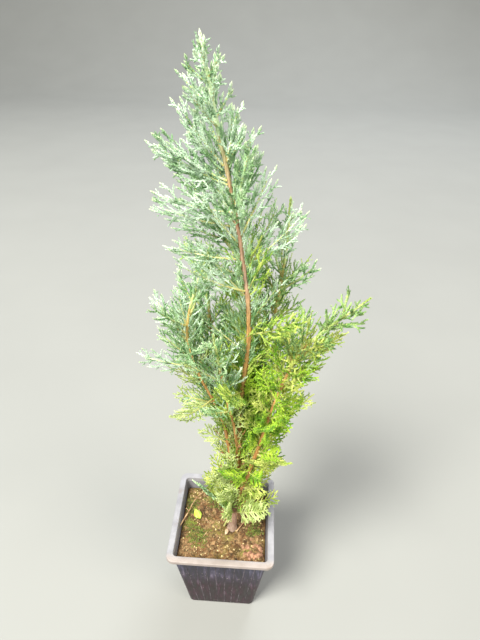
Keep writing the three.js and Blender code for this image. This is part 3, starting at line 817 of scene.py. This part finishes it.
cord = {
    "scaleSpacing": 1.3,  # from one pair of scale leaves to the next
    "scaleLength": 2,  # over the cord's thickness
    "tipLength": 1.5,  # the pale end of a cord
    "thins": 0.25, "tipThins": 0.35, "bendUp": 0.1,
    # its side twigs
    "sideAngle": 42, "angles": (0.8, 1.2), "sideFrom": 0.22, "sideTo": 0.9, "sideShortest": 1.2,
    "lengths": (0.6, 1.1), "sideThick": 0.9,
    # the twig that a spray stands on, and a stem's green end
    "twigThick": 1.1, "twigRadius": 0.75, "twigEnd": 0.92, "stemEnd": 0.98, "stemThick": 2.7,
}


def addCord(spray, curve, length, thick, steps, hasTip):
    # a cord of scale leaves, its last stretch paler where the bloom is strong
    isPale = hasTip and spray["tint"] in ("silver", "frost") and length > 2.5 * cord["tipLength"]
    end = 1 - cord["tipLength"] / length if isPale else 1
    shares = np.linspace(0, end, steps)
    spray["cords"].append((traced(curve, shares), thick * (1 - cord["thins"] * shares ** 3)))
    if end < 1:
        shares = np.linspace(end, 1, 2)
        spray["tips"].append((traced(curve, shares), thick * (1 - cord["tipThins"] * shares ** 3)))


def addBranchlet(spray, root, way, ahead, side, size, seed, look):
    # a cord that curves ahead along its twig, with its own side twigs in the plane of way and side
    bend = root + way * size / 2
    end = root + unit(way + (ahead - way) * look["forward"] + worldUp * cord["bendUp"]) * size
    clearOfBark, overRim = rule["branchletClear"]
    if min(barkDistance(bend), barkDistance(end)) < clearOfBark or not clearOfPot(end, overRim):
        return
    curve = arc(root, bend, end)
    addCord(spray, curve, size, look["thick"], 4, True)
    count = int(size * (cord["sideTo"] - cord["sideFrom"]) / look["sideSpacing"])
    longest = min(look["sideLongest"], look["sideShare"] * size)
    for k in range(count):
        share = mix(cord["sideFrom"], cord["sideTo"], (k + 0.5) / count)
        left = 1 if k % 2 else -1
        angle = radians(cord["sideAngle"] * between(*cord["angles"], seed + k * 1.9))
        sideWay = unit(wayAt(curve, share) * cos(angle) + side * left * sin(angle))
        length = longest * (1 - share) ** 0.5 * between(*cord["lengths"], seed + k * 2.7)
        length += cord["sideShortest"]
        sideCurve = bentCurve(curve(share), sideWay, length, cord["bendUp"])
        addCord(spray, sideCurve, length, look["thick"] * cord["sideThick"], 2, False)


def growSpray(spray, twig):
    # branchlets in rows on both sides of the twig, or on four, and the twig's own scales
    stem, curve, length, seed = (twig[k] for k in ("stem", "curve", "length", "seed"))
    foot, isTip = curve(0), twig.get("isTip")
    row = tipLook if isTip or twig.get("isShoot") else fromHeight(looks, foot[2])
    look = dict(zip(lookKeys, row))
    isFlat = foot[2] < rule["flatBelow"]
    isLit = isFlat and "roll" in twig
    count = max(4, round(length / look["spacing"]))
    longest = min(rule["longestBranchlet"], rule["share"] * max(length, look["least"])) * look["reach"]
    longest = rule["longestOnTip"] if isTip else twig.get("longest", longest)
    roll = twig.get("roll", between(-rule["roll"], rule["roll"], seed + 0.37))
    if isLit:
        roll *= rule["litRoll"]
    unevenLength, unevenAngle = rule["unevenBranchlet"]
    for j in range(count):
        share = mix(twig.get("from", rule["from"]), rule["toOnTip" if isTip else "to"], j / (count - 1))
        along = wayAt(curve, share)
        around = 180 * j if isFlat else 180 * j + 90 * (j // 2 % 2)
        if isTip:
            around = rule["goldenTurn"] * (j + 0.5)
        loose = rule["loose"] * between(-1, 1, seed + j * 1.7)
        beside = unit(np.cross(along, light if isLit else worldUp))
        side = turned(beside, along, roll + loose + around)
        angle = radians(rule["angle"] * between(1 - unevenAngle, 1 + unevenAngle, seed + j * 2.3))
        way = along * cos(angle) + side * sin(angle)
        uneven = between(1 - unevenLength, 1 + unevenLength, seed + j * 3.1)
        size = longest * (1 - share) ** (1 if isTip else rule["narrowing"]) * uneven + look["shortest"]
        plane = unit(along - way * along.dot(way))
        if not isFlat:
            plane = turned(plane, way, rule["planeTurn"] * between(-1, 1, seed + j * 4.3))
        addBranchlet(spray, curve(share), way, along, plane, size, seed + j * 5.1, look)
    shares = np.linspace(0, cord["twigEnd"], 7)
    radius = cord["twigRadius"]
    if isTip:
        # the stem's own green end, pale on the leader and yellow-green on the side stems
        radius = radiusOf(stem, stem["bare"])
        shares = np.linspace(0, cord["stemEnd"], 12)
        axis = spray["tips"] if stem is stems[0] else newSpray(stem, foot, seed, tint="young")["cords"]
        axis.append((traced(curve, shares), mix(cord["stemThick"] * radius, look["thick"], shares)))
        shares = shares * cord["twigEnd"]
    else:
        addCord(spray, curve, length, look["thick"] * cord["twigThick"], 8, True)
    spray["twigs"].append((traced(curve, shares), 2 * radius * (1 - 0.5 * shares)))


def growOnBark(stem, kind, count, start, end, size, seedFrom, sides=None, loose=0):
    # single branchlets straight on the bark, to both sides of it or as hairs all round
    isHair = sides is None
    if isHair:
        dead = newSpray(stem, stem["way"][0], 3, tint="withered")
    for i in range(count):
        share = mix(start, end, ((i + 0.5) / count) ** kind["crowding"])
        seed = i * kind["seedStep"] + seedFrom
        foot = stem["curve"](share)
        if i % kind["perSpray"] == 0:
            grown = newSpray(stem, foot, seed)
        turn = rule["goldenTurn"] * i if isHair else sides[i % 2] + loose * between(-1, 1, seed)
        if isHair:
            low, high = hairs["leaderHidden"]
            cone = hairs["leaderCone" if stem is stems[0] and not low < foot[2] < high else "cone"]
            if abs((turn - 270 + 180) % 360 - 180) < cone:
                continue
        along = wayAt(stem["curve"], share)
        way, square = opening(along, atAzimuth(turn), between(*kind["open"], seed + 0.2))
        root = foot + square * radiusOf(stem, share) * kind["sunk"]
        length, spray = between(*size, seed + 0.4), grown
        if isHair:
            if not insideCrown(root + way * length):
                continue
            if root[2] < hairs["deadBelow"] and chance(seed + 0.6) < hairs["deadShare"]:
                length, spray = length * hairs["deadSize"], dead
        addBranchlet(spray, root + way * kind["off"], way, along, square, length, seed, hairLook)


def growPlant():
    prepareStems()
    lines, counts = [], {}
    masses = [(f"{stem['short']}_tip_foliage", stem, tipTwigs(stem, lines)) for stem in stems]
    for stem, spec in [(stems[0], stems[0]["lowSprays"])] + [(stem, stem["sprays"]) for stem in stems]:
        for twig in stemSprays(stem, spec, lines):
            counts[stem["short"]] = counts.get(stem["short"], 0) + 1
            masses.append((f"{stem['short']}_foliage_{counts[stem['short']]}", stem, [twig]))
    for name, stem, twigs in masses:
        spray = newSpray(stem, twigs[0]["curve"](0.5), twigs[0]["seed"], name)
        for twig in twigs:
            growSpray(spray, twig)
    for stem in stems:
        for spec in stem["fill"]:
            for twig in stemSprays(stem, spec, lines, True):
                growSpray(newSpray(stem, twig["curve"](0.5), twig["seed"]), twig)
    for stem in stems:
        end = stem["bare"] * hairs["to"]
        growOnBark(stem, hairs, stem["hairs"], hairs["from"], end, hairs["size"], len(stem["name"]))
        if "feather" in stem:
            count, start, end, sides, loose, size = stem["feather"]
            growOnBark(stem, feather, count, start, end, size, 11, sides, loose)
    shoot = newSpray(stems[0], basalShoot["way"][0], 2, tint="young")
    growSpray(shoot, {**basalShoot, "stem": stems[0], "curve": smoothCurve(basalShoot["way"])})
    return {name for name, _, _ in masses}


massNames = growPlant()
missing = {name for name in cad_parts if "foliage" in name} ^ massNames
print("sprays grown:", len(sprays), "solids without a spray:", sorted(missing))


# What each tint's scale leaves are mottled between.
tints = {
    "silver": ("#86ac7c", "#d8edd6"), "frost": ("#6b985c", "#b6d6a2"), "tender": ("#5c883c", "#a8c67a"),
    "fern": ("#76a42e", "#d0e46c"), "vivid": ("#6a9e10", "#bede40"), "lime": ("#8da634", "#dfe880"),
    "young": ("#9cb25a", "#d4e29a"), "withered": ("#a9733e", "#cf9f66"), "pale": ("#c9e0b0", "#e8f5d6"),
}


def waxyScales(tint):
    # scale leaves have a waxy bloom, so they look matt and a little powdery
    stops = list(zip((0.4, 0.6), tints[tint]))
    return mottled(f"waxy_scale_leaves_{tint}", 130, 2, stops, 0.62, 1.42, (0.3, 0.1), 0.12)


def greenTwigBark():
    # soft green wood turning tan, with a faint grain along it
    stops = [(0.3, "#b99f62"), (0.5, "#cec87c"), (0.7, "#dbdc9c")]
    return mottled("young_green_twig_bark", 300, 3, stops, 0.6, 1.45, (0.3, 0.1))


def leafPair():
    # two keeled scale leaves back to back, for a cord 1 mm thick
    corners, faces = [], []
    for out in (1, -1):
        start = len(corners)
        wings = [(0.1 * out, 0.44, 0.42), (0.1 * out, -0.44, 0.42)]
        corners += [(0, 0, 0), *wings, (0.56 * out, 0, 0.45), (0.4 * out, 0, 1)]
        for face in ((0, 1, 3), (0, 3, 2), (0, 2, 1), (4, 3, 1), (4, 2, 3), (4, 1, 2)):
            faces.append([start + k for k in (face[::-1] if out > 0 else face)])
    return meshObject("leaf_pair", corners, faces)


def evenSteps(add, given):
    # the guide lines as curves in even steps, and how thick each line says it is
    curve = add("GeometryNodeMeshToCurve", {0: given["Geometry"]})
    steps = add("GeometryNodeResampleCurve", {"Curve": curve, "Length": given["spacing"]}, mode="LENGTH")
    return steps, add("GeometryNodeInputNamedAttribute", {"Name": "thick"}, data_type="FLOAT")


def scaleTree():
    # a pair of scale leaves at each step along each cord, each pair square to the one before
    tree, add, given = newTree("scale_leaves", leaf="Object", spacing="Float", leafLength="Float")
    steps, thick = evenSteps(add, given)
    along = add("GeometryNodeInputNamedAttribute", {"Name": "along"}, data_type="FLOAT_VECTOR")
    aimed = add("FunctionNodeAlignRotationToVector", {"Vector": along}, axis="Z")
    turn = add("ShaderNodeMath", {0: add("GeometryNodeInputIndex"), 1: pi / 2}, operation="MULTIPLY")
    spin = add("FunctionNodeAxisAngleToRotation", {"Axis": (0, 0, 1), "Angle": turn})
    tall = add("ShaderNodeMath", {0: thick, 1: given["leafLength"]}, operation="MULTIPLY")
    placed = add("GeometryNodeInstanceOnPoints", {
        "Points": steps,
        "Instance": add("GeometryNodeObjectInfo", {"Object": given["leaf"]}).outputs["Geometry"],
        "Rotation": add("FunctionNodeRotateRotation", {0: aimed, 1: spin}, rotation_space="LOCAL"),
        "Scale": add("ShaderNodeCombineXYZ", {0: thick, 1: thick, 2: tall}),
    })
    return endTree(tree, given, placed)


def tubeTree():
    # a round tube along each line, as thick as the line says, its skin lifted by stretched noise
    tree, add, given = newTree("round_limbs", spacing="Float", sides="Int", relief="Float", grain="Float")
    steps, thick = evenSteps(add, given)
    radius = add("ShaderNodeMath", {0: thick, 1: mm / 2}, operation="MULTIPLY")
    ring = add("GeometryNodeCurvePrimitiveCircle", {"Radius": 1, "Resolution": given["sides"]})
    swept = {"Curve": steps, "Profile Curve": ring, "Scale": radius, "Fill Caps": True}
    skin = add("GeometryNodeCurveToMesh", swept)
    place = {0: add("GeometryNodeInputPosition"), 1: (1, 1, 0.22)}
    stretched = add("ShaderNodeVectorMath", place, operation="MULTIPLY")
    bark = {"Vector": stretched, "Scale": given["grain"], "Detail": 3, "Roughness": 0.6}
    centred = add("ShaderNodeMath", {0: add("ShaderNodeTexNoise", bark), 1: 0.5}, operation="SUBTRACT")
    lifted = add("ShaderNodeMath", {0: centred, 1: given["relief"]}, operation="MULTIPLY")
    outward = {0: add("GeometryNodeInputNormal"), "Scale": lifted}
    offset = add("ShaderNodeVectorMath", outward, operation="SCALE")
    moved = add("GeometryNodeSetPosition", {0: skin, "Offset": offset})
    return endTree(tree, given, add("GeometryNodeSetShadeSmooth", {0: moved}))


def wires(name, cords):
    # cords as one mesh of edges that carries their thickness and direction
    along = np.concatenate([np.gradient(line, axis=0) for line, _ in cords])
    edges, start = [], 0
    for line, _ in cords:
        edges += [(start + k, start + k + 1) for k in range(len(line) - 1)]
        start += len(line)
    obj = meshObject(name, np.concatenate([line for line, _ in cords]), edges=edges)
    thick = np.concatenate([thick for _, thick in cords])
    setValues(obj, thick=thick, along=along / np.linalg.norm(along, axis=1)[:, None])
    return obj


foliage = {"mostScales": 15500, "twigSides": 5, "twigSpacing": 2.5, "twigGrain": 300.0}


def scaleCount(cords):
    lengths = [np.linalg.norm(np.diff(line, axis=0), axis=1).sum() for line, _ in cords]
    return sum(int(length / cord["scaleSpacing"]) + 1 for length in lengths)


def buildFoliage():
    # a tint's sprays fill one piece after another
    leaf, tree = leafPair(), scaleTree()
    leaf.hide_render = True
    total, jobs = 0, []
    for tint in tints:
        finish, room, number = waxyScales(tint), 0, 1
        for spray in sprays:
            cords = spray["tips"] if tint == "pale" else spray["cords"] if spray["tint"] == tint else []
            if not cords:
                continue
            size = scaleCount(cords)
            if size > room:
                jobs.append((f"{tint}_scale_leaves_{number}", [], [], finish))
                room, number = foliage["mostScales"], number + 1
            jobs[-1][1].extend(cords)
            room -= size
            total += size
            if spray["mass"] and tint != "pale":
                jobs[-1][2].append(spray["mass"])
    for name, batch, names, finish in jobs:
        piece = runTree(
            wires(name + "_lines", batch), tree, name, leaf=leaf, spacing=cord["scaleSpacing"] * mm,
            leafLength=cord["scaleLength"], material=finish,
        )
        finishPiece(piece, None, names)
    bpy.data.objects.remove(leaf)
    print("scale leaf pairs:", total, "pieces:", len(jobs))


def tubes(name, guide, cords, spacing, sides, relief, grain, material):
    # round limbs along the cords, spacing and relief in millimetres
    return runTree(
        wires(guide, cords), limbTree, name, spacing=spacing * mm, sides=sides, relief=relief * mm,
        grain=grain, material=material,
    )


def buildTwigs():
    cords = [c for spray in sprays for c in spray["twigs"]]
    size = (foliage["twigSpacing"], foliage["twigSides"], 0, foliage["twigGrain"])
    finishPiece(tubes("green_twigs", "twig_lines", cords, *size, greenTwigBark()), None)


def scalyBark(name, stops):
    # thin scaly bark: grey and furrowed at the foot, orange-brown above, green where it is new
    material, add, place = newMaterial(name)
    stretched = add("ShaderNodeMapping", {"Vector": place, "Scale": (1, 1, 0.16)})
    fibres = add("ShaderNodeTexNoise", {"Vector": stretched, "Scale": 900, "Detail": 5, "Roughness": 0.7})
    share = add("ShaderNodeMapRange", {
        "Value": add("ShaderNodeSeparateXYZ", {0: place}).outputs["Z"],
        "From Min": soilLevel * mm, "From Max": crown["heights"][-1] * mm,
    })
    age = add("ShaderNodeValToRGB", {"Fac": share}, stops)
    furrows = [(0.32, "#a08668"), (0.52, "#ece2d6"), (0.66, "#ffffff")]
    worn = add("ShaderNodeValToRGB", {"Fac": fibres}, furrows)
    colour = layered(add, age, (0.8, worn, "MULTIPLY"))
    shade(add, {"Base Color": colour, "Roughness": 0.75, "IOR": 1.45}, fibres, 0.6, 0.3)
    return material


# Bark: step along it, sides, how far its plates stand out, grain, slot, finish and its colours by
# height.
barkLooks = {
    "leader": (0.9, 22, 1.5, 520.0, "leader_bark", "scaly_leader_bark", [
        (0, "#b3a094"), (0.09, "#a58068"), (0.24, "#d6a566"), (0.58, "#e8b878"), (0.66, "#ceb09c"),
        (0.8, "#cda080"), (0.87, "#dfe0b0"),
    ]),
    "side": (1.1, 14, 0.8, 700.0, "stem_bark", "thin_stem_bark", [
        (0.05, "#c09470"), (0.22, "#dda468"), (0.5, "#e2b474"), (0.62, "#d9c87c"), (0.8, "#d2da98"),
    ]),
}


def buildBark():
    barks = {kind: scalyBark(*look[5:]) for kind, look in barkLooks.items()}
    for stem in stems:
        kind, name = "leader" if stem is stems[0] else "side", stem["name"]
        *size, slot = barkLooks[kind][:5]
        # a little into the green tip
        shares = np.linspace(0, stem["bare"] * 1.02, 90)
        limb = (traced(stem["curve"], shares), np.array([2 * radiusOf(stem, s) for s in shares]))
        piece = tubes(name + "_relief", name + "_line", [limb], *size, barks[kind])
        finishPiece(piece, None, [name])


buildFoliage()
limbTree = tubeTree()
buildTwigs()
buildBark()
print("plant built")


# Potting soil: peat and bark crumbs with moss, fertiliser grains and dead bits on it.
soil = {
    "edgeLevel": 77.5, "edgeWidth": 1.5, "edgeRise": 0.6, "middleSide": 1.5,
    "lump": 0.9, "lumpAcross": (20, 23), "lumpTurned": (0.8, -0.5), "flatRadius": 9, "crumbsAtFoot": 0.3,
    "rings": 46, "flatSteps": 24, "cornerSteps": 4, "bareUnderMoss": 0.7,
    "crumbs": ((8, 1.1), (3.2, 0.9), (1.4, 0.5)),  # size across and height of each kind of lump
    "corner": ((31, -27), 11), "cornerHeight": 3.2,  # heaped at the front right
    "moss": [((28, -5), 7), ((-33, 16), 8), ((-22, -14), 9), ((-8, 22), 9), ((-30, -2), 6)],
}


def nearness(x, y, patch, power):
    # 1 in the middle of a round patch, falling off about its radius
    (px, py), radius = patch
    return exp(-(hypot(x - px, y - py) / radius) ** power)


def soilHeight(x, y):
    footX, footY = stems[0]["way"][0][:2]
    away = min(1, max(0, hypot(x - footX, y - footY) / soil["flatRadius"] - 1))
    wave = 1
    for v, across, turn, wing in zip((x, y), soil["lumpAcross"], soil["lumpTurned"], (sin, cos)):
        wave *= wing(2 * pi * v / across + turn)
    z = soilLevel + away * soil["lump"] * wave + soil["cornerHeight"] * nearness(x, y, soil["corner"], 2)
    for size, height in soil["crumbs"]:
        z += mix(soil["crumbsAtFoot"], 1, away) * height * noise.noise(Vector((x, y, size)) / size)
    return z


def pottingSoil():
    # damp peat with fibres: dark brown, mottled with ochre and a green film of algae
    material, add, place = newMaterial("damp_potting_soil")
    crumbs, patches, wet = (
        add("ShaderNodeTexNoise", {"Vector": place, "Scale": scale, "Detail": detail, "Roughness": rough})
        for scale, detail, rough in ((520, 6, 0.75), (60, 3, 0.5), (95, 4, 0.6))
    )
    earth, damp = (
        add("ShaderNodeValToRGB", {"Fac": pattern}, stops) for pattern, stops in (
            (crumbs, [(0.3, "#44301f"), (0.48, "#7a5c3c"), (0.6, "#9f8058"), (0.74, "#cab088")]),
            (wet, [(0.4, "#94806e"), (0.5, "#dccdba"), (0.6, "#ffffff")]),
        )
    )
    spread = {"Value": patches, "From Min": 0.48, "From Max": 0.64, "To Max": 0.55}
    algae = add("ShaderNodeMapRange", spread)
    colour = layered(add, earth, (algae, "#7c8238", "MIX"), (0.85, damp, "MULTIPLY"))
    shade(add, {"Base Color": colour, "Roughness": 0.92, "IOR": 1.4}, crumbs, 0.9, 0.6)
    return material


def driedBark(name, dark, pale):
    # torn conifer bark and wood: fibrous, matt, each chip its own brown
    return mottled(name, 380, 4, [(0.35, dark), (0.65, pale)], 0.85, 1.45, (0.5, 0.2))


def velvetMoss(name, dark, pale):
    # cushion moss: soft deep green, lighter at its tips
    return mottled(name, 260, 2, [(0.35, dark), (0.65, pale)], 0.8, 1.4, sheen=0.2)


def softLeaf():
    # a seedling's first leaf: smooth and bright yellow-green
    return mottled("fresh_seedling_leaf", 180, 2, [(0.35, "#93b32c"), (0.65, "#c8dc5c")], 0.4, 1.42)


def scatterTree():
    # copies of one grain strewn over a surface, as thick as its weight says
    tree, add, given = newTree(
        "strewn_grains", grain="Object", density="Float", smallest="Float", largest="Float", seed="Int",
        weight="String",
    )
    seed = {"Seed": given["seed"]}
    weight = add("GeometryNodeInputNamedAttribute", {"Name": given["weight"]}, data_type="FLOAT")
    dense = add("ShaderNodeMath", {0: weight, 1: given["density"]}, operation="MULTIPLY")
    spots = {"Mesh": given["Geometry"], "Density": dense, **seed}
    lying = {"Min": (-0.5, -0.5, 0), "Max": (0.5, 0.5, 2 * pi), **seed}
    size = {2: given["smallest"], 3: given["largest"], **seed}
    placed = add("GeometryNodeInstanceOnPoints", {
        "Points": add("GeometryNodeDistributePointsOnFaces", spots),
        "Instance": add("GeometryNodeObjectInfo", {"Object": given["grain"]}).outputs["Geometry"],
        "Rotation": add("FunctionNodeRandomValue", lying, data_type="FLOAT_VECTOR"),
        "Scale": add("FunctionNodeRandomValue", size, data_type="FLOAT"),
    })
    return endTree(tree, given, placed)


def roughGrain(name, size, seed, rough):
    # an uneven lump with 20 faces
    golden = (1 + 5 ** 0.5) / 2
    corners = [(0, a, b * golden) for a in (-1, 1) for b in (-1, 1)]
    corners = [unit(np.array(p)) for x, y, z in corners for p in ((x, y, z), (y, z, x), (z, x, y))]
    lump = [p * np.array(size) / 2 * between(1 - rough, 1 + rough, seed + k) for k, p in enumerate(corners)]
    faces = []
    for a in range(12):
        for b in range(a + 1, 12):
            for c in range(b + 1, 12):
                # corners that share an edge are 1.05 apart
                p, q, r = corners[a], corners[b], corners[c]
                if max(np.linalg.norm(p - q), np.linalg.norm(q - r), np.linalg.norm(p - r)) < 1.2:
                    faces.append((a, b, c) if np.cross(q - p, r - p).dot(p) > 0 else (a, c, b))
    return meshObject(name, lump, faces)


def mossTuft(name):
    # nine short leaves leaning out from one foot
    corners, faces = [], []
    for k in range(9):
        lean, tall = radians(between(15, 60, k)), between(1.2, 2.4, k + 9)
        out, side = atAzimuth(40 * k), atAzimuth(40 * k + 90) * 0.22
        tip = out * tall * sin(lean) + worldUp * tall * cos(lean)
        faces += [[4 * k + i for i in face] for face in ((0, 1, 2), (0, 2, 3), (1, 3, 2), (0, 3, 1))]
        corners += [side, -side, out * 0.25 + tip * 0.4 + worldUp * 0.2, tip]
    return meshObject(name, corners, faces)


strewn = {
    # piece: grain size and roughness, how many to a square centimetre, scale range, seed, weight,
    # colours
    "bark_chips": ((3.6, 2, 1), 0.35, 5, (0.5, 1.3), 8, "open", ("#6f5334", "#a08058")),
    "dark_chips": ((3, 1.6, 0.9), 0.35, 5, (0.5, 1.2), 11, "open", ("#3a2c18", "#66502e")),
    "soil_crumbs": ((1.5, 1.4, 1.2), 0.3, 26, (0.5, 1.2), 14, "open", ("#57432a", "#927b52")),
    "pale_chips": ((2.4, 1.4, 0.7), 0.35, 2, (0.5, 1.1), 17, "open", ("#b7a06c", "#d9c896")),
    "fertiliser_grains": ((2, 2, 1.9), 0.06, 0.9, (0.7, 1.1), 20, "open", ("#b09a5c", "#d6c690")),
    "corner_clods": ((6, 5, 3.8), 0.3, 7, (0.5, 1.1), 23, "heaped", ("#76503a", "#bd9070")),
    "moss_tufts": (None, 0, 60, (0.6, 1.3), 31, "mossy", ("#556420", "#98a444")),
}


def soilSurface():
    # rings from the floor up the wall and in over the top to the trunk's foot
    inside, bottom, edge = pot["wall"] + gap, pot["floor"] + gap, soil["edgeLevel"]
    edgeSide, edgeCorner = wallAt(edge, inside)
    steps = (soil["flatSteps"], soil["cornerSteps"])
    rings = [squareRing(*wallAt(z, inside), z, *steps) for z in (bottom, edge)]
    foot = stems[0]["way"][0][:2]
    for k in range(1, soil["rings"] + 1):
        share = k / soil["rings"]
        side = mix(edgeSide - 2 * soil["edgeWidth"] * min(1, 6 * share), soil["middleSide"], share)
        middle = (share * foot[0], share * foot[1])
        ring = squareRing(side, min(edgeCorner, side / 2 - 0.3), soilLevel, *steps, middle)
        low, fade = edge + soil["edgeRise"], min(1, 5 * share)
        rings.append([(x, y, mix(low, soilHeight(x, y), fade)) for x, y, _ in ring])
    skin, faces = loft(rings)
    body = meshObject("soil_surface", skin, faces, smooth=True)
    isTop = np.array([z > edge and max(abs(x), abs(y)) < edgeSide / 2 - 2 for x, y, z in skin], float)
    onMoss = np.array([max(nearness(x, y, patch, 4) for patch in soil["moss"]) for x, y, _ in skin])
    heaped = np.array([nearness(x, y, soil["corner"], 4) for x, y, _ in skin])
    bare = 1 - soil["bareUnderMoss"] * onMoss
    setValues(body, open=isTop * bare, mossy=isTop * onMoss, heaped=isTop * heaped)
    return body


def buildSoil():
    body, tree = soilSurface(), scatterTree()
    for name, (size, rough, perSquare, (low, high), seed, weight, colours) in strewn.items():
        isMoss = weight == "mossy"
        grain = mossTuft("moss_tuft") if isMoss else roughGrain(name + "_grain", size, seed, rough)
        finish = velvetMoss("cushion_moss", *colours) if isMoss else driedBark(name + "_finish", *colours)
        piece = runTree(
            newObject(name + "_ground", body.data.copy()), tree, name, grain=grain, density=perSquare * 1e4,
            smallest=low, largest=high, seed=seed, weight=weight, material=finish,
        )
        bpy.data.objects.remove(grain)
        finishPiece(piece, None)
    finishPiece(body, pottingSoil(), ["soil"])


buildSoil()
print("soil built")


litter = {
    # dead twigs that lie on the soil: their lines, and thickness at each end
    "twigs": [
        ([(-41, -13, 82), (-37.5, -3, 82.6), (-33, 8, 83.2)], (1.5, 1)),
        ([(-33, 8, 83), (-30, 17, 84), (-24, 26, 85.5), (-19, 27, 84)], (0.9, 0.5)),
        ([(-33, 8, 83), (-36, 10, 84.5)], (0.9, 0.5)),
        ([(12, -8, 81), (17, -1, 83), (25, 11, 86)], (1.2, 0.7)),
        ([(17, -1, 83), (22, 0, 84), (27, 1, 83)], (0.8, 0.5)),
        ([(19, 2.5, 83.6), (18, 7, 84.6), (19, 11, 84)], (0.8, 0.5)),
        ([(-14, -10, 81), (-17, -16, 81.6)], (0.9, 0.5)),
        ([(-17, 3, 81.4), (-13, -2, 82)], (1, 0.6)),
    ],
    "twigSize": (1.2, 8, 0.4, 700.0),  # step along it, sides, relief, grain
    "leaf": {"middle": (-24.7, 5, 83), "length": 10, "width": 7, "turn": 125, "steps": 8,
             "thick": 0.25, "fold": 0.9, "rise": 1.6},
    "chip": {"middle": (3.2, -9.2, 82), "size": (3.4, 6.5, 3), "seed": 17, "rough": 0.2},
}


def seedlingLeaf():
    # an oval blade with a fold along it
    spec = litter["leaf"]
    ahead, across = atAzimuth(spec["turn"]), atAzimuth(spec["turn"] + 90)
    around = [(w, -spec["thick"]) for w in (-1, 0, 1)] + [(w, 0) for w in (1, 0, -1)]
    rings = []
    for k in range(spec["steps"] + 1):
        share = k / spec["steps"]
        half = spec["width"] / 2 * sin(pi * min(0.97, max(0.04, share)) ** 0.85)
        middle = np.array(spec["middle"]) + ahead * spec["length"] * (share - 0.5)
        lifts = [abs(w) * spec["fold"] + spec["rise"] * share * share + drop for w, drop in around]
        rings.append([middle + across * half * w + worldUp * z for (w, _), z in zip(around, lifts)])
    return meshObject("seedling_leaf", *loft(rings), smooth=True)


def buildLitter():
    cords = []
    shares = np.linspace(0, 1, 10)
    for line, (thick, thin) in litter["twigs"]:
        cords.append((traced(smoothCurve(line), shares), mix(thick, thin, shares)))
    deadWood = driedBark("dead_twig_wood", "#8d6a4a", "#cfae84")
    piece = tubes("dead_twigs", "dead_twig_lines", cords, *litter["twigSize"], deadWood)
    finishPiece(piece, None)
    finishPiece(seedlingLeaf(), softLeaf())
    spec = litter["chip"]
    chip = roughGrain("wood_chip", spec["size"], spec["seed"], spec["rough"])
    chip.data.transform(Matrix.Translation(Vector(spec["middle"]) * mm))
    finishPiece(chip, driedBark("pale_wood_chip", "#a98a6c", "#d3b999"))


buildLitter()
print("litter laid")

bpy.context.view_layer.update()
triangles = {o.name: sum(len(f.vertices) - 2 for f in o.data.polygons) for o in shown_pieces()}
print("triangles:", sum(triangles.values()), "most in one piece:", max(triangles.values()))
